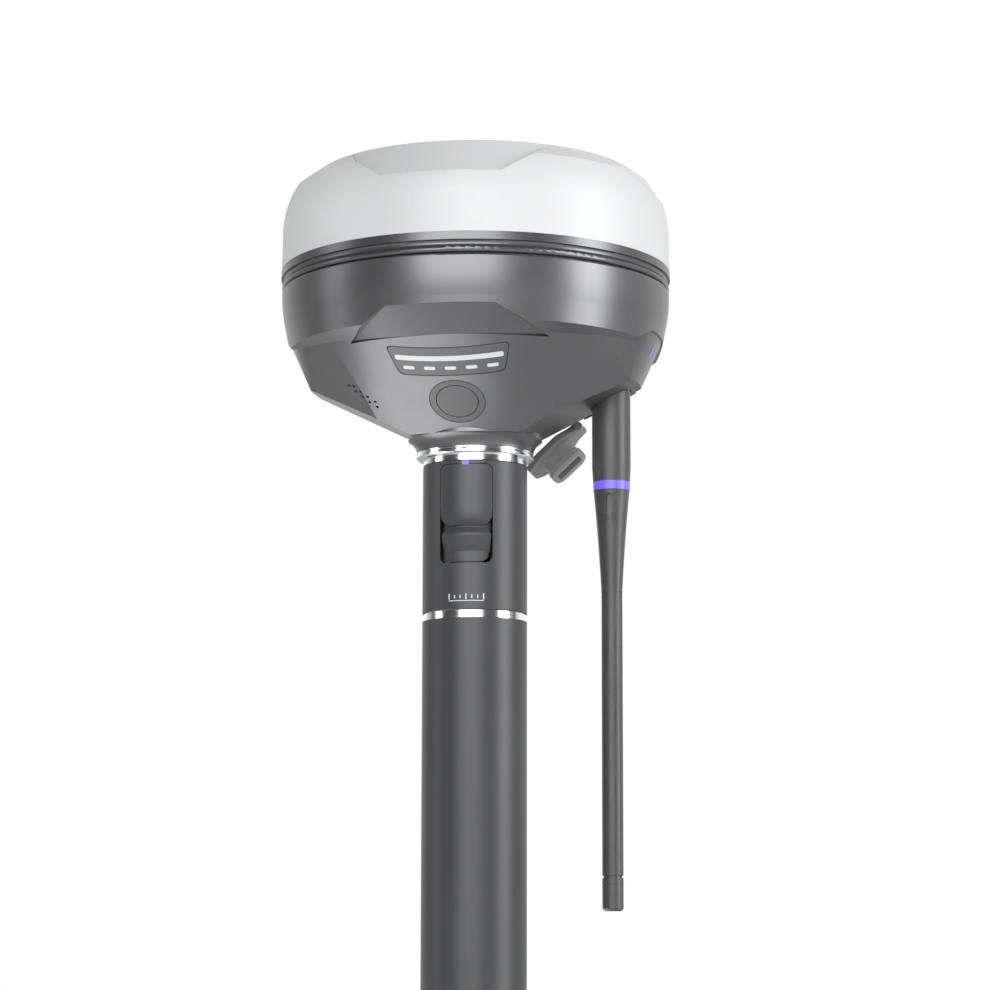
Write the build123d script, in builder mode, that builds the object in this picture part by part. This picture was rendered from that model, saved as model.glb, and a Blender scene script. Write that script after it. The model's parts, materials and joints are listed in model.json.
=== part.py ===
"""Pole-mounted satellite positioning receiver with a quick-release adapter and a whip antenna.

Millimetres, +Z up. The origin is the centre of the pole section's bottom face, the front
(lamps and power button) faces -Y and the whip antenna stands on the +X side. Heights inside
the receiver are measured from its reference plane, the underside of its base ring.
"""

import os
from math import cos, radians, sin, sqrt

from build123d import *

os.makedirs("parts", exist_ok=True)

# ---------------------------------------------------------------- driving dimensions

POLE_LENGTH = 250.0
POLE_RADIUS = 16.0
POLE_WALL = 1.8
ADAPTER_HEIGHT = 50.0
REFERENCE = POLE_LENGTH + ADAPTER_HEIGHT

THREAD_MAJOR = 15.875 / 2
THREAD_HOLE = 6.8
THREAD_STUD = 6.7
THREAD_DEPTH = 18.0
FIT = 0.1

BASE_RING_HEIGHT = 2.2
NECK_HEIGHT = 2.0
ADAPTER_LOW = POLE_LENGTH + BASE_RING_HEIGHT
ADAPTER_HIGH = REFERENCE - NECK_HEIGHT
SPIGOT_RADIUS = 10.0
SPIGOT_FOOT = 275.0
ADAPTER_BORE = SPIGOT_RADIUS + 0.12
ADAPTER_BORE_FLOOR = 262.5

LATCH_WIDTH = 16.2
LATCH_LOW, LATCH_HIGH = 266.5, 296.8
LATCH_PIVOT_Y, LATCH_PIVOT_Z = -12.4, 284.0
PIN_RADIUS, PIN_HALF = 0.8, 8.6

UNDER_TOP = 29.7
UNDER_RISE = 4.0
FRONT_RUN, FRONT_DROP = 21.1, 16.3
FRONT_RADIUS, FRONT_SETBACK = 56.5, 6.5
BOTTOM_SLOPE = 0.4856
BOTTOM_START = -2.32
FLANK_NORMAL = (0.423, 0.254, -0.870)
FLANK_LEVEL = 3.98
FACET_NORMAL = (0.516, 0.472, -0.715)
FACET_LEVEL = 15.0
END_RADIUS, END_LEVEL, END_SLOPE = 50.9, 22.1, 0.4444
NECK_TOP = 5.9

WALL_TOP = 51.9
RING_LOW, RING_HIGH = 52.15, 58.3
RADOME_TOP = 91.3
CROWN_EDGE, CROWN_LOW = 49.8, 88.25

BUTTON_POINT = (0.0, -28.9, 13.4)
BUTTON_RADIUS = 6.2
SURROUND_RADIUS = 8.4
INLAY_DEPTH = 2.1
PANEL_TOP_HALF, PANEL_LOW_HALF, PANEL_LENGTH = 18.7, 15.9, 10.8
PANEL_CENTRE = 15.9
BOARD_THICKNESS = 1.6

ANTENNA_X, ANTENNA_Y = 41.9, 3.0
SLEEVE_RADIUS = 5.9
SLEEVE_TOP, SLEEVE_FOOT = 21.5, -7.4
WHIP_RADIUS = 3.2
CORE_RADIUS = 1.2

PORT_X, PORT_Y = 29.0, 17.0
PORT_START, PORT_END, PORT_HALF = 4.0, 18.8, 4.4
PORT_DEPTH = 6.5
FLAP_OPENING = 163.0
HINGE_STANDOFF = 2.4

CELL_RADIUS, CELL_LENGTH = 9.2, 65.0
CELL_Y, CELL_LEVEL = 9.6, 32.7
BOARD_LEVEL, BOARD_RADIUS = 42.5, 47.0

# ---------------------------------------------------------------- reference planes

RADIAL = Plane((0, 0, REFERENCE), x_dir=(1, 0, 0), z_dir=(0, -1, 0))
SIDEWAYS = Plane((0, 0, REFERENCE), x_dir=(0, 1, 0), z_dir=(1, 0, 0))
POLE_SECTION = Plane.XZ

slope_length = sqrt(FRONT_RUN**2 + FRONT_DROP**2)
SLOPE_UP = Vector(0, -FRONT_RUN / slope_length, FRONT_DROP / slope_length)
SLOPE_OUT = Vector(0, -FRONT_DROP / slope_length, -FRONT_RUN / slope_length)


def level(height):
    """Horizontal plane at a height above the receiver's reference plane."""
    return Plane.XY.offset(REFERENCE + height)


def flank_height(x, y):
    """Height of a pod's sloping flank above the reference plane at a point in plan."""
    normal_x, normal_y, normal_z = FLANK_NORMAL
    return (normal_x * abs(x) + normal_y * abs(y) - FLANK_LEVEL) / -normal_z


BUTTON_CENTRE = Vector(BUTTON_POINT[0], BUTTON_POINT[1], REFERENCE + BUTTON_POINT[2])


def slope_plane(up=0.0, depth=0.0):
    """Plane on the front slope, `up` from the button's centre and `depth` below the skin."""
    origin = BUTTON_CENTRE + SLOPE_UP * up - SLOPE_OUT * depth
    return Plane(origin, x_dir=(1, 0, 0), z_dir=SLOPE_OUT)


def turned_about_y(vector, angle):
    """A vector turned about +Y by an angle in degrees."""
    turn = radians(angle)
    return Vector(
        vector.X * cos(turn) + vector.Z * sin(turn),
        vector.Y,
        vector.Z * cos(turn) - vector.X * sin(turn),
    )


def port_frame(side):
    """Surface point, outward normal and up-slope direction of the cover on one pod."""
    outward = Vector(side * FLANK_NORMAL[0], FLANK_NORMAL[1], FLANK_NORMAL[2]).normalized()
    run = Vector(side, 0, side * outward.X / -outward.Z).normalized()
    start = Vector(side * PORT_X, PORT_Y, REFERENCE + flank_height(PORT_X, PORT_Y))
    return start, outward, run


def leaned(outward):
    """Way in and out at right angles to the hinges, long enough for one unit of true depth."""
    level_way = Vector(outward.X, 0, outward.Z)
    return level_way * (1 / level_way.dot(outward))


PORT_ORIGIN, PORT_OUT, PORT_RUN = port_frame(1)
PORT_WAY = leaned(PORT_OUT)
DOOR_ORIGIN, DOOR_OUT, DOOR_RUN = port_frame(-1)
DOOR_WAY = leaned(DOOR_OUT)
FLAP_HINGE = PORT_ORIGIN + PORT_WAY * HINGE_STANDOFF
FLAP_RUN = turned_about_y(PORT_RUN, FLAP_OPENING)
FLAP_MOUTH = turned_about_y(PORT_OUT * -1, FLAP_OPENING)
FLAP_WAY = turned_about_y(PORT_WAY * -1, FLAP_OPENING)


def port_plane(depth=0.0):
    """Plane of the data port, `depth` below the pod's skin, x running up the slope."""
    return Plane(PORT_ORIGIN - PORT_WAY * depth, x_dir=PORT_RUN, z_dir=PORT_OUT)


def door_plane(depth=0.0):
    """Plane of the card door, `depth` below the pod's skin, x running up the slope."""
    return Plane(DOOR_ORIGIN - DOOR_WAY * depth, x_dir=DOOR_RUN, z_dir=DOOR_OUT)


def flap_plane(height=0.0):
    """Plane of the open flap, `height` from its hinge towards the plug's mouth."""
    return Plane(FLAP_HINGE + FLAP_WAY * height, x_dir=FLAP_RUN, z_dir=FLAP_MOUTH)


# ---------------------------------------------------------------- shared shapes


def revolved(points, plane=RADIAL, mode=Mode.ADD):
    """Turn a closed outline of (radius, height) points about the pole's axis."""
    with BuildSketch(plane) as section:
        with BuildLine():
            Polyline(*points, close=True)
        make_face()
    revolve(section.sketch, axis=Axis.Z, mode=mode)


def disc(plane, radius, height, centres=((0, 0),), hole=0.0, mode=Mode.ADD):
    """Raise round discs, or rings, from a plane."""
    with BuildSketch(plane) as section:
        with Locations(*centres):
            Circle(radius)
            if hole:
                Circle(hole, mode=Mode.SUBTRACT)
    extrude(section.sketch, amount=height, mode=mode)


def block(plane, length, width, height, centres=((0, 0),), corner=0.0, mode=Mode.ADD):
    """Raise rectangular blocks with rounded corners from a plane."""
    with BuildSketch(plane) as section:
        with Locations(*centres):
            if corner:
                RectangleRounded(length, width, corner)
            else:
                Rectangle(length, width)
    extrude(section.sketch, amount=height, mode=mode)


def raised(sketch, height, way, mode=Mode.ADD):
    """Raise a cover's outline to a true height along the way that its hinge leaves free."""
    extrude(sketch, amount=height * way.length, dir=way.normalized(), mode=mode)


def on_circle(radius, count, start):
    """Plan positions evenly spaced on a circle, `start` degrees from +X."""
    angles = [radians(start + 360.0 * step / count) for step in range(count)]
    return [(radius * cos(angle), radius * sin(angle)) for angle in angles]


def facet_tool(window, core, plane):
    """Cutter for one pair of bevel facets: a window through the wall, outside a cone."""
    with BuildPart() as tool:
        with BuildSketch(plane) as outline:
            with BuildLine():
                Polyline(*window, *[(-across, up) for across, up in reversed(window)], close=True)
            make_face()
        extrude(outline.sketch, amount=70, both=True)
        revolved(core, mode=Mode.SUBTRACT)
    return tool.part


def finish(builder, name):
    """Label a finished piece and write it to its own file."""
    builder.part.label = name
    export_step(builder.part, f"parts/{name}.step")


# ---------------------------------------------------------------- pole section

with BuildPart() as pole_tube:
    disc(Plane.XY, POLE_RADIUS, POLE_LENGTH, hole=POLE_RADIUS - POLE_WALL)
finish(pole_tube, "pole_tube")

with BuildPart() as pole_bottom_plug:
    disc(Plane.XY, POLE_RADIUS - POLE_WALL, 24)
    disc(Plane.XY, THREAD_HOLE, THREAD_DEPTH, mode=Mode.SUBTRACT)
finish(pole_bottom_plug, "pole_bottom_plug")

with BuildPart() as pole_top_plug:
    disc(Plane.XY.offset(POLE_LENGTH - 20), POLE_RADIUS - POLE_WALL, 20)
    disc(Plane.XY.offset(POLE_LENGTH), THREAD_STUD, 12)
    chamfer(pole_top_plug.edges().sort_by(Axis.Z)[-1], 0.8)
finish(pole_top_plug, "pole_top_plug")

# ---------------------------------------------------------------- quick-release adapter

with BuildPart() as adapter_base_ring:
    disc(Plane.XY.offset(POLE_LENGTH), POLE_RADIUS - 0.4, BASE_RING_HEIGHT, hole=THREAD_STUD + FIT)
finish(adapter_base_ring, "adapter_base_ring")

with BuildPart() as adapter_body:
    disc(Plane.XY.offset(ADAPTER_LOW), POLE_RADIUS, ADAPTER_HIGH - ADAPTER_LOW)
    for rim in (adapter_body.faces().sort_by(Axis.Z)[0], adapter_body.faces().sort_by(Axis.Z)[-1]):
        chamfer(rim.edges(), 0.35)
    disc(Plane.XY.offset(ADAPTER_LOW), THREAD_STUD + FIT, 12, mode=Mode.SUBTRACT)
    disc(Plane.XY.offset(ADAPTER_BORE_FLOOR), ADAPTER_BORE, 40, mode=Mode.SUBTRACT)
    with BuildSketch(Plane.XZ.offset(8.0)) as window:
        with Locations((0, (LATCH_LOW + LATCH_HIGH) / 2)):
            RectangleRounded(LATCH_WIDTH, LATCH_HIGH - LATCH_LOW, 2.0)
    extrude(window.sketch, amount=10, mode=Mode.SUBTRACT)
    with BuildSketch(Plane.YZ) as pin_hole:
        with Locations((LATCH_PIVOT_Y, LATCH_PIVOT_Z)):
            Circle(PIN_RADIUS)
    extrude(pin_hole.sketch, amount=PIN_HALF + 0.1, both=True, mode=Mode.SUBTRACT)
finish(adapter_body, "adapter_body")

with BuildPart() as latch_pin:
    with BuildSketch(Plane.YZ) as pin_section:
        with Locations((LATCH_PIVOT_Y, LATCH_PIVOT_Z)):
            Circle(PIN_RADIUS)
    extrude(pin_section.sketch, amount=PIN_HALF, both=True)
finish(latch_pin, "latch_pin")

LEVER_LOW, LEVER_HIGH = LATCH_LOW + 0.4, LATCH_HIGH - 0.2
LEVER_HALF = LATCH_WIDTH / 2 - 0.15

with BuildPart() as latch_lever:
    with BuildSketch(Plane.XZ.offset(10.0)) as outline:
        with Locations((0, (LEVER_LOW + LEVER_HIGH) / 2)):
            Rectangle(2 * LEVER_HALF, LEVER_HIGH - LEVER_LOW)
        fillet(outline.vertices().group_by(Axis.Z)[-1], 1.9)
        fillet(outline.vertices().group_by(Axis.Z)[0], 3.2)
    extrude(outline.sketch, amount=7)
    with BuildSketch(Plane.YZ) as section:
        with BuildLine():
            Line((-16.9, 275.3), (-14.6, 269.9))
            Line((-14.6, 269.9), (-15.0, 269.5))
            Line((-15.0, 269.5), (-15.0, LATCH_LOW))
            Line((-15.0, LATCH_LOW), (-11.4, LATCH_LOW))
            Line((-11.4, LATCH_LOW), (-11.4, 288.0))
            Line((-11.4, 288.0), (-10.35, 289.2))
            Line((-10.35, 289.2), (-10.35, 290.2))
            Line((-10.35, 290.2), (-11.4, 291.4))
            Line((-11.4, 291.4), (-11.4, LATCH_HIGH))
            Line((-11.4, LATCH_HIGH), (-17.2, LATCH_HIGH))
            Line((-17.2, LATCH_HIGH), (-17.2, 283.2))
            ThreePointArc((-17.2, 283.2), (-15.9, 279.3), (-12.8, 277.7))
            Line((-12.8, 277.7), (-12.9, 277.2))
            ThreePointArc((-12.9, 277.2), (-14.8, 276.4), (-16.9, 275.3))
        make_face()
    extrude(section.sketch, amount=LATCH_WIDTH, both=True, mode=Mode.INTERSECT)
    with BuildSketch(Plane.XY.offset(LATCH_LOW)) as grip_round:
        Circle(POLE_RADIUS)
    extrude(grip_round.sketch, amount=LATCH_HIGH - LATCH_LOW, mode=Mode.INTERSECT)
    with BuildSketch(Plane.YZ.offset(-9)) as pin_bore:
        with Locations((LATCH_PIVOT_Y, LATCH_PIVOT_Z)):
            Circle(PIN_RADIUS + 0.06)
    extrude(pin_bore.sketch, amount=18, mode=Mode.SUBTRACT)
finish(latch_lever, "latch_lever")

with BuildPart() as latch_spring:
    with BuildSketch(Plane.YZ) as leaf:
        with BuildLine():
            Polyline(
                (-11.4, 276.0), (-11.0, 276.0), (-11.0, 270.0), (-10.2, 266.8), (-10.6, 266.7),
                (-11.4, 269.8), close=True,
            )
        make_face()
    extrude(leaf.sketch, amount=2.5, both=True)
finish(latch_spring, "latch_spring")

with BuildPart() as adapter_spigot:
    revolved(
        [
            (0, SPIGOT_FOOT), (9.2, SPIGOT_FOOT), (SPIGOT_RADIUS, SPIGOT_FOOT + 0.8),
            (SPIGOT_RADIUS, 287.2), (8.4, 287.8), (8.4, 291.6), (SPIGOT_RADIUS, 292.2),
            (SPIGOT_RADIUS, ADAPTER_HIGH), (15.9, ADAPTER_HIGH), (15.9, REFERENCE),
            (THREAD_MAJOR, REFERENCE), (THREAD_MAJOR, REFERENCE + 11.4),
            (THREAD_MAJOR - 1.2, REFERENCE + 12.6), (0, REFERENCE + 12.6),
        ],
        plane=POLE_SECTION,
    )
finish(adapter_spigot, "adapter_spigot")

# ---------------------------------------------------------------- receiver skin, solid

with BuildPart() as underside:
    reach = (UNDER_TOP + UNDER_RISE - NECK_TOP + 1) * slope_length / FRONT_DROP
    setback = FRONT_SETBACK - UNDER_RISE * FRONT_RUN / FRONT_DROP
    for towards, mode in ((1, Mode.ADD), (-1, Mode.INTERSECT)):
        with BuildSketch(level(UNDER_TOP + UNDER_RISE)) as arc_plan:
            with Locations((0, towards * setback)):
                Circle(FRONT_RADIUS)
        extrude(
            arc_plan.sketch, amount=reach, dir=(0, towards * FRONT_RUN, -FRONT_DROP), mode=mode
        )
    split(bisect_by=level(NECK_TOP), keep=Keep.TOP)
    for side in (-1, 1):
        split(
            bisect_by=Plane(
                (0, 0, REFERENCE + BOTTOM_START), z_dir=(side * BOTTOM_SLOPE, 0, -1)
            ),
            keep=Keep.BOTTOM,
        )
        split(
            bisect_by=Plane(
                (side * PORT_X, PORT_Y, REFERENCE + flank_height(PORT_X, PORT_Y)),
                z_dir=(side * FLANK_NORMAL[0], FLANK_NORMAL[1], FLANK_NORMAL[2]),
            ),
            keep=Keep.BOTTOM,
        )
        split(
            bisect_by=Plane(
                (0, 0, REFERENCE + FACET_LEVEL / FACET_NORMAL[2]),
                z_dir=(side * FACET_NORMAL[0], -FACET_NORMAL[1], FACET_NORMAL[2]),
            ),
            keep=Keep.BOTTOM,
        )
    revolved(
        [
            (0, NECK_TOP - 1), (END_RADIUS + END_SLOPE * (NECK_TOP - 1 - END_LEVEL), NECK_TOP - 1),
            (END_RADIUS + END_SLOPE * (UNDER_TOP + 5 - END_LEVEL), UNDER_TOP + 5),
            (0, UNDER_TOP + 5),
        ],
        mode=Mode.INTERSECT,
    )

front_facets = facet_tool(
    window=[(16.5, 37.5), (27.8, 31.0), (30.2, 29.6)],
    core=[(0, 29.0), (49.3, 29.0), (58.6, 38.2), (0, 38.2)],
    plane=RADIAL,
)
side_facets = facet_tool(
    window=[(11.9, 36.5), (25.0, 31.2), (27.4, 29.6)],
    core=[
        (0, 29.0), (END_RADIUS + END_SLOPE * (29.0 - END_LEVEL), 29.0),
        (END_RADIUS + END_SLOPE * (38.0 - END_LEVEL), 38.0), (0, 38.0),
    ],
    plane=SIDEWAYS,
)

with BuildPart() as skin:
    with BuildSketch(RADIAL) as wall_section:
        with BuildLine():
            Polyline((0, UNDER_TOP), (50.0, UNDER_TOP), (57.3, 33.0), (58.55, 39.7))
            ThreePointArc((58.55, 39.7), (59.56, 45.3), (59.9, 51.2))
            ThreePointArc((59.9, 51.2), (59.78, 51.65), (59.5, WALL_TOP))
            Polyline((59.5, WALL_TOP), (0, WALL_TOP), (0, UNDER_TOP))
        make_face()
    revolve(wall_section.sketch, axis=Axis.Z)
    add(side_facets, mode=Mode.SUBTRACT)
    add(underside.part)
    add(front_facets, mode=Mode.SUBTRACT)
    with BuildSketch(RADIAL) as neck_section:
        with BuildLine():
            Line((0, 1.9), (17.9, 1.9))
            ThreePointArc((17.9, 1.9), (18.7, 4.2), (20.6, NECK_TOP))
            Polyline((20.6, NECK_TOP), (20.6, 9.0), (0, 9.0), (0, 1.9))
        make_face()
    revolve(neck_section.sketch, axis=Axis.Z)

# ---------------------------------------------------------------- lower housing


def panel_outline(grow):
    """Trapezoid of the lamp window on the slope, grown by a gap on every side."""
    with BuildSketch(slope_plane(PANEL_CENTRE, 6)) as outline:
        with BuildLine():
            Polyline(
                (-PANEL_LOW_HALF - grow, -PANEL_LENGTH / 2 - grow),
                (PANEL_LOW_HALF + grow, -PANEL_LENGTH / 2 - grow),
                (PANEL_TOP_HALF + grow, PANEL_LENGTH / 2 + grow),
                (-PANEL_TOP_HALF - grow, PANEL_LENGTH / 2 + grow),
                close=True,
            )
        make_face()
        fillet(outline.vertices(), 1.8)
    return outline.sketch


def skin_inlay(outline, depth):
    """The slice of the outer skin inside an outline, from the surface to a flat depth."""
    with BuildPart() as inlay:
        add(skin.part)
        extrude(outline, amount=12, mode=Mode.INTERSECT)
        split(bisect_by=slope_plane(0, depth), keep=Keep.TOP)
    return inlay.part


def round_outline(radius, hole=0.0):
    """Circle or ring on the slope around the power button."""
    with BuildSketch(slope_plane(0, 6)) as outline:
        Circle(radius)
        if hole:
            Circle(hole, mode=Mode.SUBTRACT)
    return outline.sketch


def straight_slot(plane, start, end, half):
    """Rounded slot running along a plane's x from `start` to `end`."""
    with BuildSketch(plane) as outline:
        with Locations(((start + end) / 2, 0)):
            RectangleRounded(end - start, 2 * half, half - 0.6)
    return outline.sketch


PANEL_FLOOR = 2.4
panel_pocket = skin_inlay(panel_outline(0.12), PANEL_FLOOR)
button_pocket = skin_inlay(round_outline(SURROUND_RADIUS + 0.12), PANEL_FLOOR)

BUZZER_OUT = Vector(-0.356, -0.571, -0.740).normalized()
BUZZER_POINT = Vector(-29.75, -24.7, REFERENCE + 16.9)
BUZZER_ROW = Vector(-0.80, -0.22, 0.56)
BUZZER_ROW = (BUZZER_ROW - BUZZER_OUT * BUZZER_ROW.dot(BUZZER_OUT)).normalized()
BUZZER_PLANE = Plane(BUZZER_POINT + BUZZER_OUT * 2, x_dir=BUZZER_ROW, z_dir=BUZZER_OUT * -1)
HOLE_PITCH, ROW_PITCH = 2.68, 1.6
buzzer_holes = [((step - 2.0) * HOLE_PITCH, -ROW_PITCH / 2) for step in range(5)]
buzzer_holes += [((step - 1.5) * HOLE_PITCH, ROW_PITCH / 2) for step in range(4)]

ring_screw_places = on_circle(51.5, 6, 0.0)
board_screw_places = on_circle(42.0, 4, 45.0)
base_screw_places = on_circle(14.5, 4, 45.0)

with BuildPart() as lower_housing:
    add(skin.part)
    revolved(
        [
            (0, 9.0), (19.2, 9.0), (48.5, 31.8), (53.4, 37.0), (55.4, 41.5), (56.6, 46.0),
            (56.6, WALL_TOP + 1), (0, WALL_TOP + 1),
        ],
        mode=Mode.SUBTRACT,
    )
    revolved([(0, 8.0), (14.0, 8.0), (14.0, 16.0), (0, 16.0)])
    revolved([(0, 1.0), (11.5, 1.0), (11.5, 14.4), (0, 14.4)], mode=Mode.SUBTRACT)
    disc(level(26), 3.0, BOARD_LEVEL - 26, centres=board_screw_places)
    disc(level(34), 2.9, 15.5, centres=ring_screw_places)
    disc(level(37), 1.1, 10, centres=board_screw_places, mode=Mode.SUBTRACT)
    disc(level(41), 1.3, 12, centres=ring_screw_places, mode=Mode.SUBTRACT)
    disc(level(1), 1.3, 7.5, centres=base_screw_places, mode=Mode.SUBTRACT)
    add(panel_pocket, mode=Mode.SUBTRACT)
    add(button_pocket, mode=Mode.SUBTRACT)
    disc(slope_plane(0, 8), 3.4, 8, mode=Mode.SUBTRACT)
    with BuildSketch(slope_plane(PANEL_CENTRE, 8)) as lamp_way:
        Rectangle(30.0, 6.0)
    extrude(lamp_way.sketch, amount=8, mode=Mode.SUBTRACT)
    disc(BUZZER_PLANE, 0.5, 12, centres=buzzer_holes, mode=Mode.SUBTRACT)
    antenna_axis = [(ANTENNA_X, ANTENNA_Y)]
    disc(level(5), SLEEVE_RADIUS + 0.3, SLEEVE_TOP + 0.3 - 5, centres=antenna_axis, mode=Mode.SUBTRACT)
    disc(level(20), SLEEVE_RADIUS + 0.3, 3, centres=antenna_axis, mode=Mode.SUBTRACT)
    disc(level(20), 3.4, 14, centres=antenna_axis, mode=Mode.SUBTRACT)
    raised(straight_slot(port_plane(PORT_DEPTH), PORT_START, PORT_END, PORT_HALF), 12, PORT_WAY,
           mode=Mode.SUBTRACT)
    raised(straight_slot(port_plane(2.5), 2.2, 20.6, 6.0), 6, PORT_WAY, mode=Mode.SUBTRACT)
    raised(straight_slot(port_plane(14), 6.6, 16.4, 1.9), 10, PORT_WAY, mode=Mode.SUBTRACT)
    raised(straight_slot(door_plane(1.3), 1.4, 20.4, 6.0), 6, DOOR_WAY, mode=Mode.SUBTRACT)
    raised(straight_slot(door_plane(4.5), 4.4, 17.6, 4.0), 6, DOOR_WAY, mode=Mode.SUBTRACT)
    raised(straight_slot(door_plane(14), 4.9, 17.1, 1.0), 10, DOOR_WAY, mode=Mode.SUBTRACT)
finish(lower_housing, "lower_housing")

# ---------------------------------------------------------------- ring, radome and seals

with BuildPart() as mid_ring:
    with BuildSketch(RADIAL) as ring_section:
        with BuildLine():
            Polyline((55.0, 52.0), (46.0, 52.0), (46.0, 49.6), (56.4, 49.6), (56.4, RING_LOW),
                     (59.2, RING_LOW))
            ThreePointArc((59.2, RING_LOW), (59.92, 52.9), (59.7, 53.75))
            ThreePointArc((59.7, 53.75), (59.1, 54.7), (59.4, 55.7))
            Polyline((59.4, 55.7), (60.2, 55.85), (60.2, RING_HIGH), (57.4, RING_HIGH),
                     (57.4, 60.6), (55.0, 60.6), (55.0, 52.0))
        make_face()
    revolve(ring_section.sketch, axis=Axis.Z)
    revolved([(55.4, 50.4), (57.0, 50.4), (57.0, 51.6), (55.4, 51.6)], mode=Mode.SUBTRACT)
    revolved([(56.4, 58.9), (58.0, 58.9), (58.0, 60.1), (56.4, 60.1)], mode=Mode.SUBTRACT)
    disc(level(49), 1.5, 4, centres=ring_screw_places, mode=Mode.SUBTRACT)
finish(mid_ring, "mid_ring")

for name, major, height in (("housing_seal", 56.0, 51.0), ("radome_seal", 57.0, 59.5)):
    with BuildPart() as seal:
        with BuildSketch(RADIAL) as cord_section:
            with Locations((major, height)):
                Circle(0.54)
        revolve(cord_section.sketch, axis=Axis.Z)
    finish(seal, name)

front_bevels = facet_tool(
    window=[(33.0, 93.0), (27.3, 83.4), (18.3, 76.9)],
    core=[(0, 70.0), (63.82, 70.0), (46.42, 93.0), (0, 93.0)],
    plane=RADIAL,
)
side_bevels = facet_tool(
    window=[(31.0, 93.0), (25.6, 83.4), (16.0, 78.6)],
    core=[(0, 70.0), (63.18, 70.0), (49.6, 93.0), (0, 93.0)],
    plane=SIDEWAYS,
)

crown_rise = RADOME_TOP - CROWN_LOW
crown_radius = (CROWN_EDGE**2 + crown_rise**2) / (2 * crown_rise)
crown_middle = RADOME_TOP - crown_radius + sqrt(crown_radius**2 - (CROWN_EDGE / 2) ** 2)

with BuildPart() as radome:
    with BuildSketch(RADIAL) as dome_section:
        with BuildLine():
            Line((0, RING_HIGH), (60.1, RING_HIGH))
            Line((60.1, RING_HIGH), (59.85, 71.5))
            ThreePointArc((59.85, 71.5), (58.75, 77.9), (56.5, 83.4))
            Line((56.5, 83.4), (CROWN_EDGE, CROWN_LOW))
            ThreePointArc((CROWN_EDGE, CROWN_LOW), (CROWN_EDGE / 2, crown_middle), (0, RADOME_TOP))
            Line((0, RADOME_TOP), (0, RING_HIGH))
        make_face()
    revolve(dome_section.sketch, axis=Axis.Z)
    revolved(
        [
            (0, RING_HIGH - 1), (57.65, RING_HIGH - 1), (57.4, 71.0), (54.6, 77.6), (46.8, 85.9),
            (25.3, 88.2), (0, 88.9),
        ],
        mode=Mode.SUBTRACT,
    )
    add(front_bevels, mode=Mode.SUBTRACT)
    add(side_bevels, mode=Mode.SUBTRACT)
finish(radome, "radome")

with BuildPart() as chassis_screws:
    disc(level(52.0), 2.5, 1.9, centres=ring_screw_places)
    disc(level(52.0), 1.25, -10, centres=ring_screw_places)
    disc(level(53.0), 1.1, 1.2, centres=ring_screw_places, mode=Mode.SUBTRACT)
finish(chassis_screws, "chassis_screws")

# ---------------------------------------------------------------- satellite antenna stack

with BuildPart() as ground_plane:
    disc(level(60.6), 56.8, 1.5)
finish(ground_plane, "ground_plane")

with BuildPart() as antenna_board:
    disc(level(62.1), 45.0, BOARD_THICKNESS)
finish(antenna_board, "antenna_board")

with BuildPart() as lower_patch:
    disc(level(63.7), 30.0, 8.0)
finish(lower_patch, "lower_patch")

with BuildPart() as upper_patch:
    disc(level(71.7), 21.0, 6.0)
finish(upper_patch, "upper_patch")

with BuildPart() as amplifier_shield:
    block(level(55.2), 42, 34, 5.4, corner=1.5)
    block(level(55.8), 40.8, 32.8, 4.8, corner=1.0, mode=Mode.SUBTRACT)
finish(amplifier_shield, "amplifier_shield")

# ---------------------------------------------------------------- electronics and battery

with BuildPart() as main_board:
    disc(level(BOARD_LEVEL), BOARD_RADIUS, BOARD_THICKNESS)
    disc(level(BOARD_LEVEL - 1), 1.3, 4, centres=board_screw_places, mode=Mode.SUBTRACT)
finish(main_board, "main_board")

board_top = BOARD_LEVEL + BOARD_THICKNESS

with BuildPart() as board_screws:
    disc(level(board_top), 2.2, 1.6, centres=board_screw_places)
    disc(level(board_top), 1.0, -6.0, centres=board_screw_places)
finish(board_screws, "board_screws")

with BuildPart() as shield_cans:
    block(level(board_top), 26, 22, 3.0, centres=[(-17, 12)], corner=1.0)
    block(level(board_top), 22, 18, 3.0, centres=[(17, 14)], corner=1.0)
    block(level(board_top), 30, 14, 2.6, centres=[(10, -18)], corner=1.0)
finish(shield_cans, "shield_cans")

with BuildPart() as radio_module:
    block(level(board_top), 18, 16, 2.8, centres=[(-20, -16)], corner=0.8)
finish(radio_module, "radio_module")

CELL_PLANE = Plane((-CELL_LENGTH / 2, 0, REFERENCE + CELL_LEVEL), x_dir=(0, 1, 0), z_dir=(1, 0, 0))

with BuildPart() as battery_cells:
    disc(CELL_PLANE, CELL_RADIUS, CELL_LENGTH, centres=[(-CELL_Y, 0), (CELL_Y, 0)])
finish(battery_cells, "battery_cells")

with BuildPart() as battery_tray:
    block(level(CELL_LEVEL), CELL_LENGTH + 3, 2 * (CELL_Y + CELL_RADIUS) + 2.6,
          BOARD_LEVEL - CELL_LEVEL, corner=2.0)
    disc(CELL_PLANE.offset(-0.2), CELL_RADIUS + 0.1, CELL_LENGTH + 0.4,
         centres=[(-CELL_Y, 0), (CELL_Y, 0)], mode=Mode.SUBTRACT)
finish(battery_tray, "battery_tray")

# ---------------------------------------------------------------- lamps, power button, buzzer

window_skin = skin_inlay(panel_outline(0.0), INLAY_DEPTH)
surround_skin = skin_inlay(round_outline(SURROUND_RADIUS, BUTTON_RADIUS + 0.3), INLAY_DEPTH)
button_skin = skin_inlay(round_outline(BUTTON_RADIUS), INLAY_DEPTH - 0.6)

BAR_UP, BAR_LENGTH, BAR_WIDTH = 1.2, 32.8, 1.9
LAMP_UP, LAMP_LENGTH, LAMP_WIDTH, LAMP_PITCH = -2.6, 3.4, 1.3, 6.35
lamp_places = [((step - 2) * LAMP_PITCH, LAMP_UP) for step in range(5)]


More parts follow.
